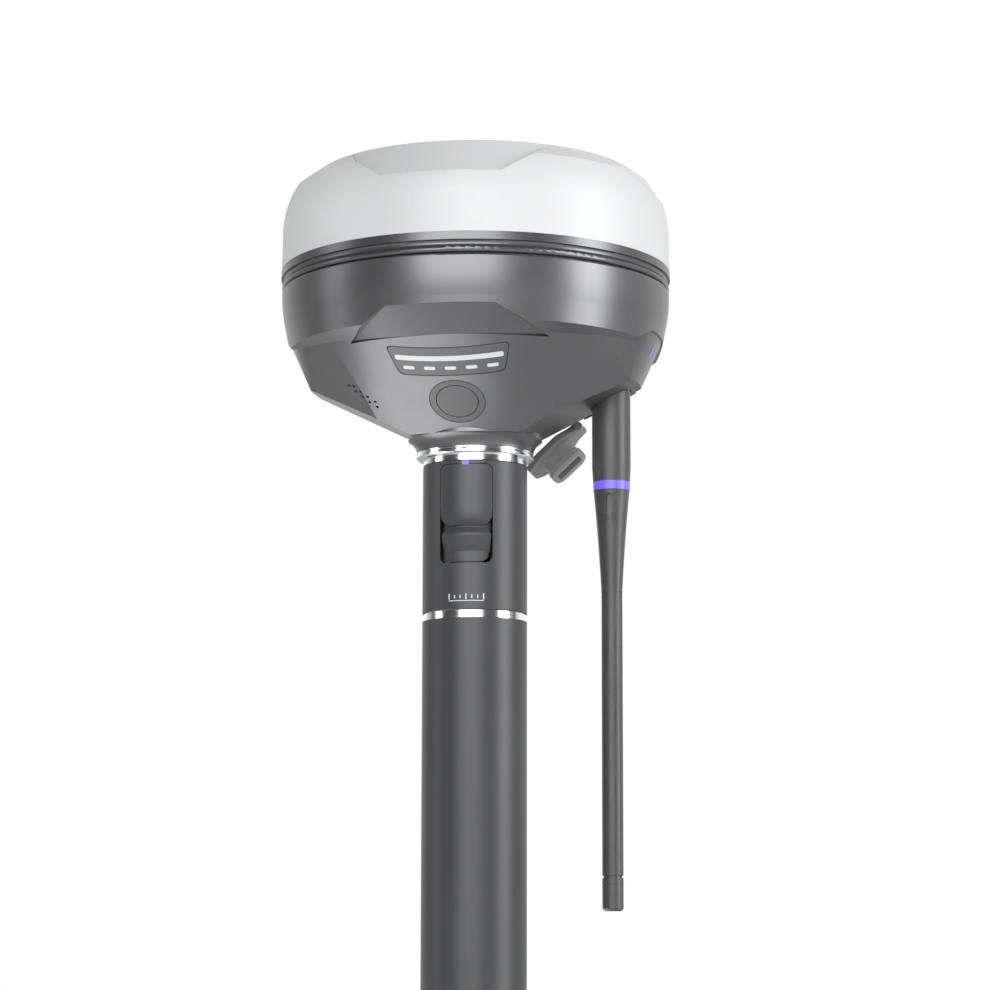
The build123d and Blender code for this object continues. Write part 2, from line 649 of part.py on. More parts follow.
def lamp_openings(grow):
    """Rounded bars of the light bar and the five lamps on the slope."""
    with BuildSketch(slope_plane(PANEL_CENTRE, 6)) as bar:
        with Locations((0, BAR_UP)):
            RectangleRounded(BAR_LENGTH + grow, BAR_WIDTH + grow, 0.6)
    with BuildSketch(slope_plane(PANEL_CENTRE, 6)) as lamps:
        with Locations(*lamp_places):
            RectangleRounded(LAMP_LENGTH + grow, LAMP_WIDTH + grow, 0.5)
    return bar.sketch, lamps.sketch


bar_hole, lamp_holes = lamp_openings(0.04)
bar_shape, lamp_shapes = lamp_openings(0.0)

with BuildPart() as led_window:
    add(window_skin)
    extrude(bar_hole, amount=12, mode=Mode.SUBTRACT)
    extrude(lamp_holes, amount=12, mode=Mode.SUBTRACT)
finish(led_window, "led_window")

for name, shape in (("light_bar", bar_shape), ("led_lenses", lamp_shapes)):
    with BuildPart() as lens:
        add(skin.part)
        extrude(shape, amount=12, mode=Mode.INTERSECT)
        split(bisect_by=slope_plane(0, INLAY_DEPTH), keep=Keep.TOP)
    finish(lens, name)

with BuildPart() as button_surround:
    add(surround_skin)
finish(button_surround, "button_surround")

with BuildPart() as power_button:
    add(button_skin)
    disc(slope_plane(0, 4.3), 1.6, 4.3 - INLAY_DEPTH + 0.7)
finish(power_button, "power_button")

with BuildPart() as led_board:
    block(slope_plane(PANEL_CENTRE - 9, 8.2), 26, 30, 1.0)
finish(led_board, "led_board")

with BuildPart() as button_switch:
    block(slope_plane(0, 7.2), 4.6, 4.6, 1.7)
finish(button_switch, "button_switch")

with BuildPart() as led_chips:
    block(slope_plane(PANEL_CENTRE, 7.2), 2.0, 1.2, 0.8,
          centres=lamp_places + [(-9, BAR_UP), (0, BAR_UP), (9, BAR_UP)])
finish(led_chips, "led_chips")

with BuildPart() as buzzer:
    disc(BUZZER_PLANE.offset(8.9), 4.2, 2.4)
finish(buzzer, "buzzer")

# ---------------------------------------------------------------- covers on the pods

with BuildPart() as port_bezel:
    raised(straight_slot(port_plane(2.4), 2.3, 20.5, 5.9), 3.0, PORT_WAY)
    raised(straight_slot(port_plane(3), PORT_START, PORT_END, PORT_HALF), 8, PORT_WAY,
           mode=Mode.SUBTRACT)
finish(port_bezel, "port_bezel")

with BuildPart() as usb_socket:
    raised(straight_slot(port_plane(8.1), 7.0, 16.0, 1.7), 8.1 - PORT_DEPTH, PORT_WAY)
    raised(straight_slot(port_plane(7.6), 7.6, 15.4, 1.2), 8, PORT_WAY, mode=Mode.SUBTRACT)
    raised(straight_slot(port_plane(7.8), 8.6, 14.4, 0.7), 1.2, PORT_WAY)
finish(usb_socket, "usb_socket")

with BuildPart() as port_flap:
    with BuildSketch(flap_plane(-1.0)) as plate:
        with BuildLine():
            Polyline((7.0, 5.5), (3.2, 3.2), (-0.8, 2.6), (-0.8, -2.6), (3.2, -3.2), (7.0, -5.5),
                     (16.4, -5.5))
            ThreePointArc((16.4, -5.5), (20.8, 0), (16.4, 5.5))
            Line((16.4, 5.5), (7.0, 5.5))
        make_face()
    raised(plate.sketch, 1.9, FLAP_WAY)
    with BuildSketch(flap_plane(0.8)) as boot_foot:
        with Locations((10.9, 0)):
            RectangleRounded(12.2, 7.0, 2.8)
    with BuildSketch(flap_plane(4.6)) as boot_head:
        with Locations((10.9, 0)):
            RectangleRounded(11.4, 6.4, 2.6)
    loft([boot_foot.sketch, boot_head.sketch])
    with BuildSketch(flap_plane(4.6)) as rim:
        with Locations((10.9, 0)):
            RectangleRounded(12.6, 7.8, 3.3)
    raised(rim.sketch, 2.0, FLAP_WAY)
    with BuildSketch(flap_plane(3.0)) as slot:
        with Locations((10.9, 0)):
            RectangleRounded(9.2, 3.4, 0.5)
    raised(slot.sketch, 6, FLAP_WAY, mode=Mode.SUBTRACT)
    with BuildSketch(Plane(FLAP_HINGE, x_dir=(1, 0, 0), z_dir=(0, 1, 0))) as knuckle:
        Circle(1.0)
    extrude(knuckle.sketch, amount=3.0, both=True)
finish(port_flap, "port_flap")

with BuildPart() as sim_door:
    raised(straight_slot(door_plane(1.2), 1.7, 20.1, 5.7), 1.7, DOOR_WAY)
finish(sim_door, "sim_door")

with BuildPart() as sim_tray:
    raised(straight_slot(door_plane(7.0), 5.1, 16.9, 0.9), 7.0 - 3.4, DOOR_WAY)
finish(sim_tray, "sim_tray")

# ---------------------------------------------------------------- base of the receiver

with BuildPart() as base_ring:
    revolved(
        [
            (8.3, 0), (17.5, 0), (18.1, 0.35), (18.1, 0.95), (17.6, 1.1), (17.6, 1.4),
            (17.95, 1.55), (17.95, 1.9), (8.3, 1.9),
        ]
    )
    disc(level(-1), 1.5, 4, centres=base_screw_places, mode=Mode.SUBTRACT)
    disc(level(-1), 2.6, 2.2, centres=base_screw_places, mode=Mode.SUBTRACT)
finish(base_ring, "base_ring")

with BuildPart() as base_screws:
    disc(level(0.1), 2.5, 1.1, centres=base_screw_places)
    disc(level(1.2), 1.2, 6.8, centres=base_screw_places)
finish(base_screws, "base_screws")

with BuildPart() as thread_insert:
    disc(level(1.9), 11.5, 12.5, hole=THREAD_MAJOR + FIT)
finish(thread_insert, "thread_insert")

# ---------------------------------------------------------------- whip antenna

ANTENNA_SECTION = Plane((ANTENNA_X, ANTENNA_Y, REFERENCE), x_dir=(1, 0, 0), z_dir=(0, -1, 0))
ANTENNA_AXIS = Axis((ANTENNA_X, ANTENNA_Y, 0), (0, 0, 1))


def antenna_turned(points, mode=Mode.ADD):
    """Turn a closed outline of (radius, height) points about the whip antenna's axis."""
    with BuildSketch(ANTENNA_SECTION) as section:
        with BuildLine():
            Polyline(*points, close=True)
        make_face()
    revolve(section.sketch, axis=ANTENNA_AXIS, mode=mode)


JACK_RADIUS = 4.5

with BuildPart() as antenna_jack:
    antenna_turned(
        [
            (0, 12.0), (JACK_RADIUS, 12.0), (JACK_RADIUS, SLEEVE_TOP + 0.4), (6.1, SLEEVE_TOP + 0.4),
            (6.1, 23.0), (3.3, 23.0), (3.3, 30.0), (0, 30.0),
        ]
    )
finish(antenna_jack, "antenna_jack")

with BuildPart() as antenna_sleeve:
    antenna_turned(
        [
            (JACK_RADIUS + 0.08, SLEEVE_TOP), (SLEEVE_RADIUS - 0.4, SLEEVE_TOP),
            (SLEEVE_RADIUS, SLEEVE_TOP - 0.4), (SLEEVE_RADIUS, -2.7), (5.65, SLEEVE_FOOT),
            (CORE_RADIUS + 0.1, SLEEVE_FOOT), (CORE_RADIUS + 0.1, 11.6), (JACK_RADIUS + 0.08, 11.6),
        ]
    )
finish(antenna_sleeve, "antenna_sleeve")

RING_FOOT = SLEEVE_FOOT - 2.6

with BuildPart() as accent_ring:
    antenna_turned(
        [(CORE_RADIUS + 0.1, SLEEVE_FOOT), (5.65, SLEEVE_FOOT), (5.58, RING_FOOT),
         (CORE_RADIUS + 0.1, RING_FOOT)]
    )
finish(accent_ring, "accent_ring")

BOOT_FOOT, TIP_TOP, TIP_FOOT = -40.8, -127.2, -137.4

with BuildPart() as antenna_boot:
    with BuildSketch(ANTENNA_SECTION) as boot_section:
        with BuildLine():
            Line((CORE_RADIUS + 0.1, RING_FOOT), (5.5, RING_FOOT))
            ThreePointArc((5.5, RING_FOOT), (4.05, -27.0), (WHIP_RADIUS, BOOT_FOOT))
            Polyline((WHIP_RADIUS, BOOT_FOOT), (CORE_RADIUS + 0.1, BOOT_FOOT),
                     (CORE_RADIUS + 0.1, RING_FOOT))
        make_face()
    revolve(boot_section.sketch, axis=ANTENNA_AXIS)
    with BuildSketch(
        Plane((ANTENNA_X, ANTENNA_Y - 4.2, REFERENCE - 14.7), x_dir=(1, 0, 0), z_dir=(0, -1, 0))
    ) as finger_slot:
        RectangleRounded(1.7, 6.8, 0.8)
    extrude(finger_slot.sketch, amount=3, mode=Mode.SUBTRACT)
finish(antenna_boot, "antenna_boot")

with BuildPart() as antenna_whip:
    antenna_turned(
        [(CORE_RADIUS + 0.1, BOOT_FOOT), (WHIP_RADIUS, BOOT_FOOT), (WHIP_RADIUS, -126.8),
         (WHIP_RADIUS - 0.35, -126.8), (WHIP_RADIUS - 0.35, TIP_TOP), (CORE_RADIUS + 0.1, TIP_TOP)]
    )
finish(antenna_whip, "antenna_whip")

with BuildPart() as antenna_tip:
    antenna_turned(
        [(CORE_RADIUS + 0.1, TIP_TOP), (WHIP_RADIUS - 0.35, TIP_TOP), (WHIP_RADIUS - 0.35, -127.6),
         (WHIP_RADIUS, -127.6), (WHIP_RADIUS, TIP_FOOT + 0.7), (WHIP_RADIUS - 0.7, TIP_FOOT),
         (0, TIP_FOOT), (0, -132.2), (CORE_RADIUS + 0.1, -132.2)]
    )
finish(antenna_tip, "antenna_tip")

with BuildPart() as antenna_core:
    antenna_turned([(0, 11.4), (CORE_RADIUS, 11.4), (CORE_RADIUS, -132.0), (0, -132.0)])
finish(antenna_core, "antenna_core")
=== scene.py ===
"""Looks of a pole-mounted satellite positioning receiver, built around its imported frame.

Metres, +Z up, the lamps and power button face -Y and the whip antenna hangs on the +X side.
Every sub-assembly is a class that dresses its frame nodes and adds the fine pieces that ride
on the same body.
"""

from __future__ import annotations

import json
import logging
from dataclasses import dataclass, field
from enum import Enum
from math import asin, cos, hypot, pi, radians, sin, sqrt
from random import Random
from typing import Any, Callable, Iterable, Sequence

import bmesh
import bpy
from mathutils import Matrix, Vector


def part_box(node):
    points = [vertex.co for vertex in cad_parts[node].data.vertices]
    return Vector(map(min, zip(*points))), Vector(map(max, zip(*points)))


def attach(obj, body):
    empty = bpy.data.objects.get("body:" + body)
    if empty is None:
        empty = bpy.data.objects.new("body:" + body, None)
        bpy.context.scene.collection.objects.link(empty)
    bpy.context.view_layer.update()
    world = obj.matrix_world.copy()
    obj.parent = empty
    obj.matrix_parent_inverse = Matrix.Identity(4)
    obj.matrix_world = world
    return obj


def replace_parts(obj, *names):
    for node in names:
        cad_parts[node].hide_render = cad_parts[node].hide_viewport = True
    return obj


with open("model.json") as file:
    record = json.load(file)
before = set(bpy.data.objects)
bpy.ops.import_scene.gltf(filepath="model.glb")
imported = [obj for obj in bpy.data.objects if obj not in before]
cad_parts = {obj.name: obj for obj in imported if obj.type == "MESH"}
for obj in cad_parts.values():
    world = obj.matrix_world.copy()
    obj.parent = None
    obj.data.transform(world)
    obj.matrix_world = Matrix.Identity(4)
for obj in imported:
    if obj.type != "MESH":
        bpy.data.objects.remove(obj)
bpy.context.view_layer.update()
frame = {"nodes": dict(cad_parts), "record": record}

log = logging.getLogger("receiver")

Point = Sequence[float]
Colour = tuple[float, float, float]

MM = 0.001
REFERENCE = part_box("base_ring")[0].z

INK_DEPTH = 0.05
CORD_SIDES = 12
HELIX_STEPS = 40
PLATE_DEPTH = 2.4
BOARD_TOP = 44.1
PATCH_TOP = 77.7
ANTENNA_AXIS = (41.9, 3.0)
PORT_NORMAL = (0.423, 0.254, -0.870)
POD_END_RADIUS, POD_END_LEVEL, POD_END_SLOPE = 50.92, 22.1, 0.4444
SCREEN_CANS = ((-17, 12, 26, 22), (17, 14, 22, 18), (10, -18, 30, 14))


class Body(Enum):
    """Bodies of the frame that the pieces ride on."""

    POLE = "pole"
    RECEIVER = "receiver"
    LATCH = "latch"
    BUTTON = "power_button"
    ANTENNA = "antenna"
    FLAP = "port_flap"
    DOOR = "sim_door"


# ---------------------------------------------------------------- finishes


class Surface:
    """A shaded surface put together node by node on Object coordinates."""

    def __init__(self, name: str) -> None:
        """Starts a material with a plain shader.

        Args:
            name: the material's name.
        """
        self.material = bpy.data.materials.new(name)
        self.material.use_nodes = True
        self.tree = self.material.node_tree
        self.shader = self.tree.nodes["Principled BSDF"]
        self.place = self.add("ShaderNodeTexCoord").outputs["Object"]

    def add(self, kind: str, **settings: Any) -> bpy.types.Node:
        """Adds a node.

        Args:
            kind: the node's type.
            settings: properties of the node.

        Returns:
            The new node.
        """
        node = self.tree.nodes.new(kind)
        for key, value in settings.items():
            setattr(node, key, value)
        return node

    def join(self, source: bpy.types.NodeSocket, target: bpy.types.NodeSocket) -> None:
        """Links two sockets.

        Args:
            source: the output.
            target: the input.
        """
        self.tree.links.new(source, target)

    def set(self, **values: Any) -> None:
        """Sets constants on the shader's sockets.

        Args:
            values: socket names with spaces written as underscores.
        """
        for key, value in values.items():
            self.shader.inputs[key.replace("_", " ")].default_value = value

    def stretched(self, stretch: Point) -> bpy.types.NodeSocket:
        """Object coordinates scaled along each axis.

        Args:
            stretch: the scale along x, y and z.

        Returns:
            The scaled coordinates.
        """
        mapping = self.add("ShaderNodeMapping")
        mapping.inputs["Scale"].default_value = stretch
        self.join(self.place, mapping.inputs["Vector"])
        return mapping.outputs["Vector"]

    def noise(
        self, grain: float, detail: float = 3.0, place: bpy.types.NodeSocket | None = None
    ) -> bpy.types.NodeSocket:
        """Soft noise.

        Args:
            grain: the size of one grain in metres.
            detail: how many finer layers it has.
            place: coordinates, the object's own if none are given.

        Returns:
            The noise from 0 to 1.
        """
        node = self.add("ShaderNodeTexNoise")
        node.inputs["Scale"].default_value = 1.0 / grain
        node.inputs["Detail"].default_value = detail
        self.join(place or self.place, node.inputs["Vector"])
        return node.outputs["Fac"]

    def cells(self, size: float) -> bpy.types.NodeSocket:
        """Distance to the nearest cell centre of a fine cell pattern.

        Args:
            size: the size of a cell in metres.

        Returns:
            The distance from 0 to about 1.
        """
        node = self.add("ShaderNodeTexVoronoi")
        node.inputs["Scale"].default_value = 1.0 / size
        self.join(self.place, node.inputs["Vector"])
        return node.outputs["Distance"]

    def spread(
        self, factor: bpy.types.NodeSocket, low: float, high: float,
        start: float = 0.3, end: float = 0.7,
    ) -> bpy.types.NodeSocket:
        """Maps a factor onto a range.

        Args:
            factor: the value to map.
            low: the result at `start`.
            high: the result at `end`.
            start: where the range starts.
            end: where the range ends.

        Returns:
            The mapped value.
        """
        node = self.add("ShaderNodeMapRange")
        for key, value in (("From Min", start), ("From Max", end), ("To Min", low), ("To Max", high)):
            node.inputs[key].default_value = value
        self.join(factor, node.inputs["Value"])
        return node.outputs["Result"]

    def tone(
        self, factor: bpy.types.NodeSocket, dark: Colour, light: Colour,
        start: float = 0.3, end: float = 0.7,
    ) -> bpy.types.NodeSocket:
        """Blends two colours by a factor.

        Args:
            factor: 0 to 1.
            dark: the colour at `start`.
            light: the colour at `end`.
            start: where the blend starts.
            end: where the blend ends.

        Returns:
            The colour.
        """
        node = self.add("ShaderNodeValToRGB")
        node.color_ramp.elements[0].position = start
        node.color_ramp.elements[1].position = end
        node.color_ramp.elements[0].color = (*dark, 1.0)
        node.color_ramp.elements[1].color = (*light, 1.0)
        self.join(factor, node.inputs["Fac"])
        return node.outputs["Color"]

    def paint(self, colour: bpy.types.NodeSocket) -> None:
        """Gives the shader its colour.

        Args:
            colour: the colour's socket.
        """
        self.join(colour, self.shader.inputs["Base Color"])

    def roughen(self, value: bpy.types.NodeSocket) -> None:
        """Gives the shader its roughness.

        Args:
            value: the roughness's socket.
        """
        self.join(value, self.shader.inputs["Roughness"])

    def bump(self, height: bpy.types.NodeSocket, depth: float, strength: float = 1.0) -> None:
        """Adds relief on top of any relief that is there.

        Args:
            height: the height from 0 to 1.
            depth: how deep the relief is in metres.
            strength: how strongly it shows.
        """
        node = self.add("ShaderNodeBump")
        node.inputs["Distance"].default_value = depth
        node.inputs["Strength"].default_value = strength
        normal = self.shader.inputs["Normal"]
        if normal.is_linked:
            self.join(normal.links[0].from_socket, node.inputs["Normal"])
        self.join(height, node.inputs["Height"])
        self.join(node.outputs["Normal"], normal)


def shade(colour: Colour, share: float) -> Colour:
    """A colour made lighter or darker.

    Args:
        colour: linear red, green and blue.
        share: the factor for each.

    Returns:
        The new colour.
    """
    return (colour[0] * share, colour[1] * share, colour[2] * share)


@dataclass(frozen=True)
class Finish:
    """What every finish has: a name, a main colour and the frame's material slot."""

    name: str
    colour: Colour
    slot: str = ""

    def make(self) -> Surface:
        """Builds the surface. Each kind of finish has its own.

        Returns:
            The surface.
        """
        raise NotImplementedError

    def material(self) -> bpy.types.Material:
        """The finish's material, built the first time that it is asked for.

        Returns:
            The material.
        """
        return bpy.data.materials.get(f"finish.{self.name}") or self.make().material

    def start(self) -> Surface:
        """A surface under the finish's own name.

        Returns:
            The plain surface.
        """
        return Surface(f"finish.{self.name}")

    def mottle(
        self, surface: Surface, factor: bpy.types.NodeSocket, dark: float, light: float
    ) -> None:
        """Lets the finish's colour vary by a factor.

        Args:
            surface: the surface to colour.
            factor: 0 to 1.
            dark: the share of the colour at the low end.
            light: its share at the high end.
        """
        surface.paint(surface.tone(factor, shade(self.colour, dark), shade(self.colour, light)))


@dataclass(frozen=True)
class Coating(Finish):
    """Sprayed satin coating on metal, with a fine pebble grain."""

    metallic: float = 0.6
    roughness: float = 0.36
    grain: float = 0.22 * MM
    relief: float = 0.012 * MM

    def make(self) -> Surface:
        """Builds the coating.

        Returns:
            The surface.
        """
        surface = self.start()
        drift = surface.noise(24 * MM, 2.0)
        speck = surface.noise(self.grain, 2.0)
        self.mottle(surface, drift, 0.94, 1.05)
        surface.roughen(surface.spread(speck, self.roughness - 0.03, self.roughness + 0.04))
        surface.bump(surface.noise(self.grain, 3.0), self.relief, 0.6)
        surface.set(Metallic=self.metallic)
        return surface


@dataclass(frozen=True)
class Moulding(Finish):
    """Moulded plastic with a spark-eroded texture and an optional painted glow."""

    roughness: float = 0.48
    grain: float = 0.3 * MM
    relief: float = 0.015 * MM
    painted_glow: float = 0.0

    def make(self) -> Surface:
        """Builds the plastic.

        Returns:
            The surface.
        """
        surface = self.start()
        drift = surface.noise(35 * MM, 2.0)
        self.mottle(surface, drift, 0.97, 1.02)
        speck = surface.noise(self.grain, 2.0)
        surface.roughen(surface.spread(speck, self.roughness - 0.03, self.roughness + 0.05))
        surface.bump(surface.cells(self.grain), self.relief, 0.4)
        surface.set(Subsurface_Weight=0.04, Subsurface_Scale=1.5 * MM, Specular_IOR_Level=0.45)
        # Painted glow: faint emission in the finish's own colour on a part that is no lamp.
        if self.painted_glow:
            surface.set(Emission_Color=(*self.colour, 1.0), Emission_Strength=self.painted_glow)
        return surface


@dataclass(frozen=True)
class Polish(Finish):
    """Polished or turned metal with faint rings round the pole's axis."""

    roughness: float = 0.08
    ring: float = 0.09 * MM

    def make(self) -> Surface:
        """Builds the metal.

        Returns:
            The surface.
        """
        surface = self.start()
        rings = surface.noise(self.ring, 2.0, surface.stretched((0.02, 0.02, 1.0)))
        smear = surface.noise(6 * MM, 3.0)
        self.mottle(surface, smear, 0.96, 1.0)
        surface.roughen(surface.spread(rings, self.roughness, self.roughness + 0.05))
        surface.bump(rings, 0.002 * MM, 0.3)
        surface.set(Metallic=1.0)
        return surface


@dataclass(frozen=True)
class Rubber(Finish):
    """Matt moulded rubber with a faint bloom."""

    roughness: float = 0.62
    grain: float = 0.25 * MM
    sheen: float = 0.12

    def make(self) -> Surface:
        """Builds the rubber.

        Returns:
            The surface.
        """
        surface = self.start()
        bloom = surface.noise(9 * MM, 4.0)
        self.mottle(surface, bloom, 0.92, 1.08)
        surface.roughen(surface.spread(bloom, self.roughness - 0.05, self.roughness + 0.06))
        surface.bump(surface.noise(self.grain, 2.0), 0.02 * MM, 0.5)
        surface.set(Sheen_Weight=self.sheen, Sheen_Roughness=0.5)
        return surface


@dataclass(frozen=True)
class SolderMask(Finish):
    """Circuit board lacquer with copper tracks and pads showing through."""

    copper: Colour = (0.30, 0.42, 0.16)

    def make(self) -> Surface:
        """Builds the lacquer.

        Returns:
            The surface.
        """
        surface = self.start()
        bricks = surface.add("ShaderNodeTexBrick", offset=0.5)
        bricks.inputs["Scale"].default_value = 1.0 / (3.2 * MM)
        bricks.inputs["Mortar Size"].default_value = 0.035
        bricks.inputs["Color1"].default_value = (*self.colour, 1.0)
        bricks.inputs["Color2"].default_value = (*shade(self.colour, 0.8), 1.0)
        bricks.inputs["Mortar"].default_value = (*self.copper, 1.0)
        surface.join(surface.place, bricks.inputs["Vector"])
        surface.paint(bricks.outputs["Color"])
        surface.roughen(surface.spread(surface.noise(0.4 * MM), 0.25, 0.4))
        surface.bump(bricks.outputs["Fac"], 0.03 * MM, 0.5)
        return surface


@dataclass(frozen=True)
class Ceramic(Finish):
    """Fired ceramic with a silvered, lightly speckled face."""

    def make(self) -> Surface:
        """Builds the ceramic.

        Returns:
            The surface.
        """
        surface = self.start()
        speck = surface.noise(0.5 * MM, 4.0)
        self.mottle(surface, speck, 0.85, 1.1)
        surface.roughen(surface.spread(speck, 0.45, 0.7))
        surface.bump(speck, 0.03 * MM, 0.5)
        return surface


@dataclass(frozen=True)
class ShrinkWrap(Finish):
    """Heat-shrunk sleeve on a battery cell, taut with small wrinkles."""

    def make(self) -> Surface:
        """Builds the sleeve.

        Returns:
            The surface.
        """
        surface = self.start()
        wrinkle = surface.noise(1.2 * MM, 3.0, surface.stretched((0.12, 1.0, 1.0)))
        self.mottle(surface, wrinkle, 0.9, 1.15)
        surface.roughen(surface.spread(wrinkle, 0.18, 0.34))
        surface.bump(wrinkle, 0.06 * MM, 0.5)
        return surface


RADOME = Moulding("radome", (0.52, 0.525, 0.53), roughness=0.42)
HOUSING = Coating("housing", (0.135, 0.136, 0.140), metallic=0.75, roughness=0.33)
RING = Coating("ring", (0.120, 0.121, 0.125), metallic=0.75, roughness=0.30, relief=0.004 * MM)
POLE = Coating("pole", (0.046, 0.047, 0.049), metallic=0.25, roughness=0.42)
ADAPTER = Coating("adapter", (0.046, 0.047, 0.049), metallic=0.25, roughness=0.42)
CHROME = Polish("chrome", (0.92, 0.93, 0.94), roughness=0.14)
STEEL = Polish("steel", (0.55, 0.55, 0.56), roughness=0.22)
BRASS = Polish("brass", (0.72, 0.52, 0.22), roughness=0.2)
ALUMINIUM = Polish("aluminium", (0.70, 0.71, 0.72), roughness=0.28)
CAN = Polish("can", (0.66, 0.66, 0.64), roughness=0.3)
PANEL = Moulding("panel", (0.085, 0.086, 0.090), roughness=0.35, relief=0.004 * MM)
DIFFUSER = Moulding("diffuser", (0.58, 0.585, 0.59), roughness=0.4)
KEYPAD = Rubber("keypad", (0.088, 0.089, 0.092), roughness=0.5)
RUBBER = Rubber("rubber", (0.17, 0.17, 0.173), roughness=0.55)
SEAL = Rubber("seal", (0.012, 0.012, 0.012), roughness=0.6)
BLACK = Moulding("black_plastic", (0.016, 0.016, 0.018), roughness=0.4)
ANTENNA = Rubber("antenna_rubber", (0.046, 0.046, 0.048), roughness=0.42, sheen=0.05)
# The accent marks carry a painted glow: faint emission although they are no lamp.
ACCENT = Moulding("accent", (0.155, 0.125, 0.80), roughness=0.35, painted_glow=0.12)
BOARD = SolderMask("board", (0.012, 0.09, 0.035))
CERAMIC = Ceramic("ceramic", (0.70, 0.64, 0.52))
CELL = ShrinkWrap("cell_wrap", (0.02, 0.08, 0.30))
INK = Moulding("ink", (0.75, 0.76, 0.77), slot="diffuser", roughness=0.6)

SLOT_FINISHES: dict[str, Finish] = {
    finish.name: finish
    for finish in (
        RADOME, HOUSING, RING, POLE, ADAPTER, CHROME, STEEL, BRASS, ALUMINIUM, CAN, PANEL,
        DIFFUSER, KEYPAD, RUBBER, SEAL, BLACK, ANTENNA, ACCENT, BOARD, CERAMIC, CELL,
    )
}


def dress(*nodes: str) -> None:
    """Gives frame nodes the finish of their own material slot.

    Args:
        nodes: names of frame nodes.
    """
    slots = {part["node"]: part["material_slot"] for part in frame["record"]["subparts"]}
    for name in nodes:
        mesh = frame["nodes"][name].data
        mesh.materials.clear()
        mesh.materials.append(SLOT_FINISHES[slots[name]].material())


# ---------------------------------------------------------------- shapes


@dataclass(frozen=True)
class Seat:
    """A place and a set of axes that a piece is shaped in."""

    origin: Point
    along: Point
    out: Point

    def matrix(self) -> Matrix:
        """The change from the seat's own axes to the frame's.

        Returns:
            A matrix whose x runs along the seat and whose z points out of it.
        """
        out = Vector(self.out).normalized()
        along = Vector(self.along)
        along = (along - out * along.dot(out)).normalized()
        across = out.cross(along)
        turn = Matrix((along, across, out)).transposed().to_4x4()
        return Matrix.Translation(Vector(self.origin) * MM) @ turn


def level_seat(x: float, y: float, height: float) -> Seat:
    """A level seat at a height above the receiver's reference plane.

    Args:
        x: place along X in millimetres.
        y: place along Y in millimetres.
        height: height above the reference plane in millimetres.

    Returns:
        The seat.
    """
    return Seat((x, y, REFERENCE / MM + height), (1, 0, 0), (0, 0, 1))


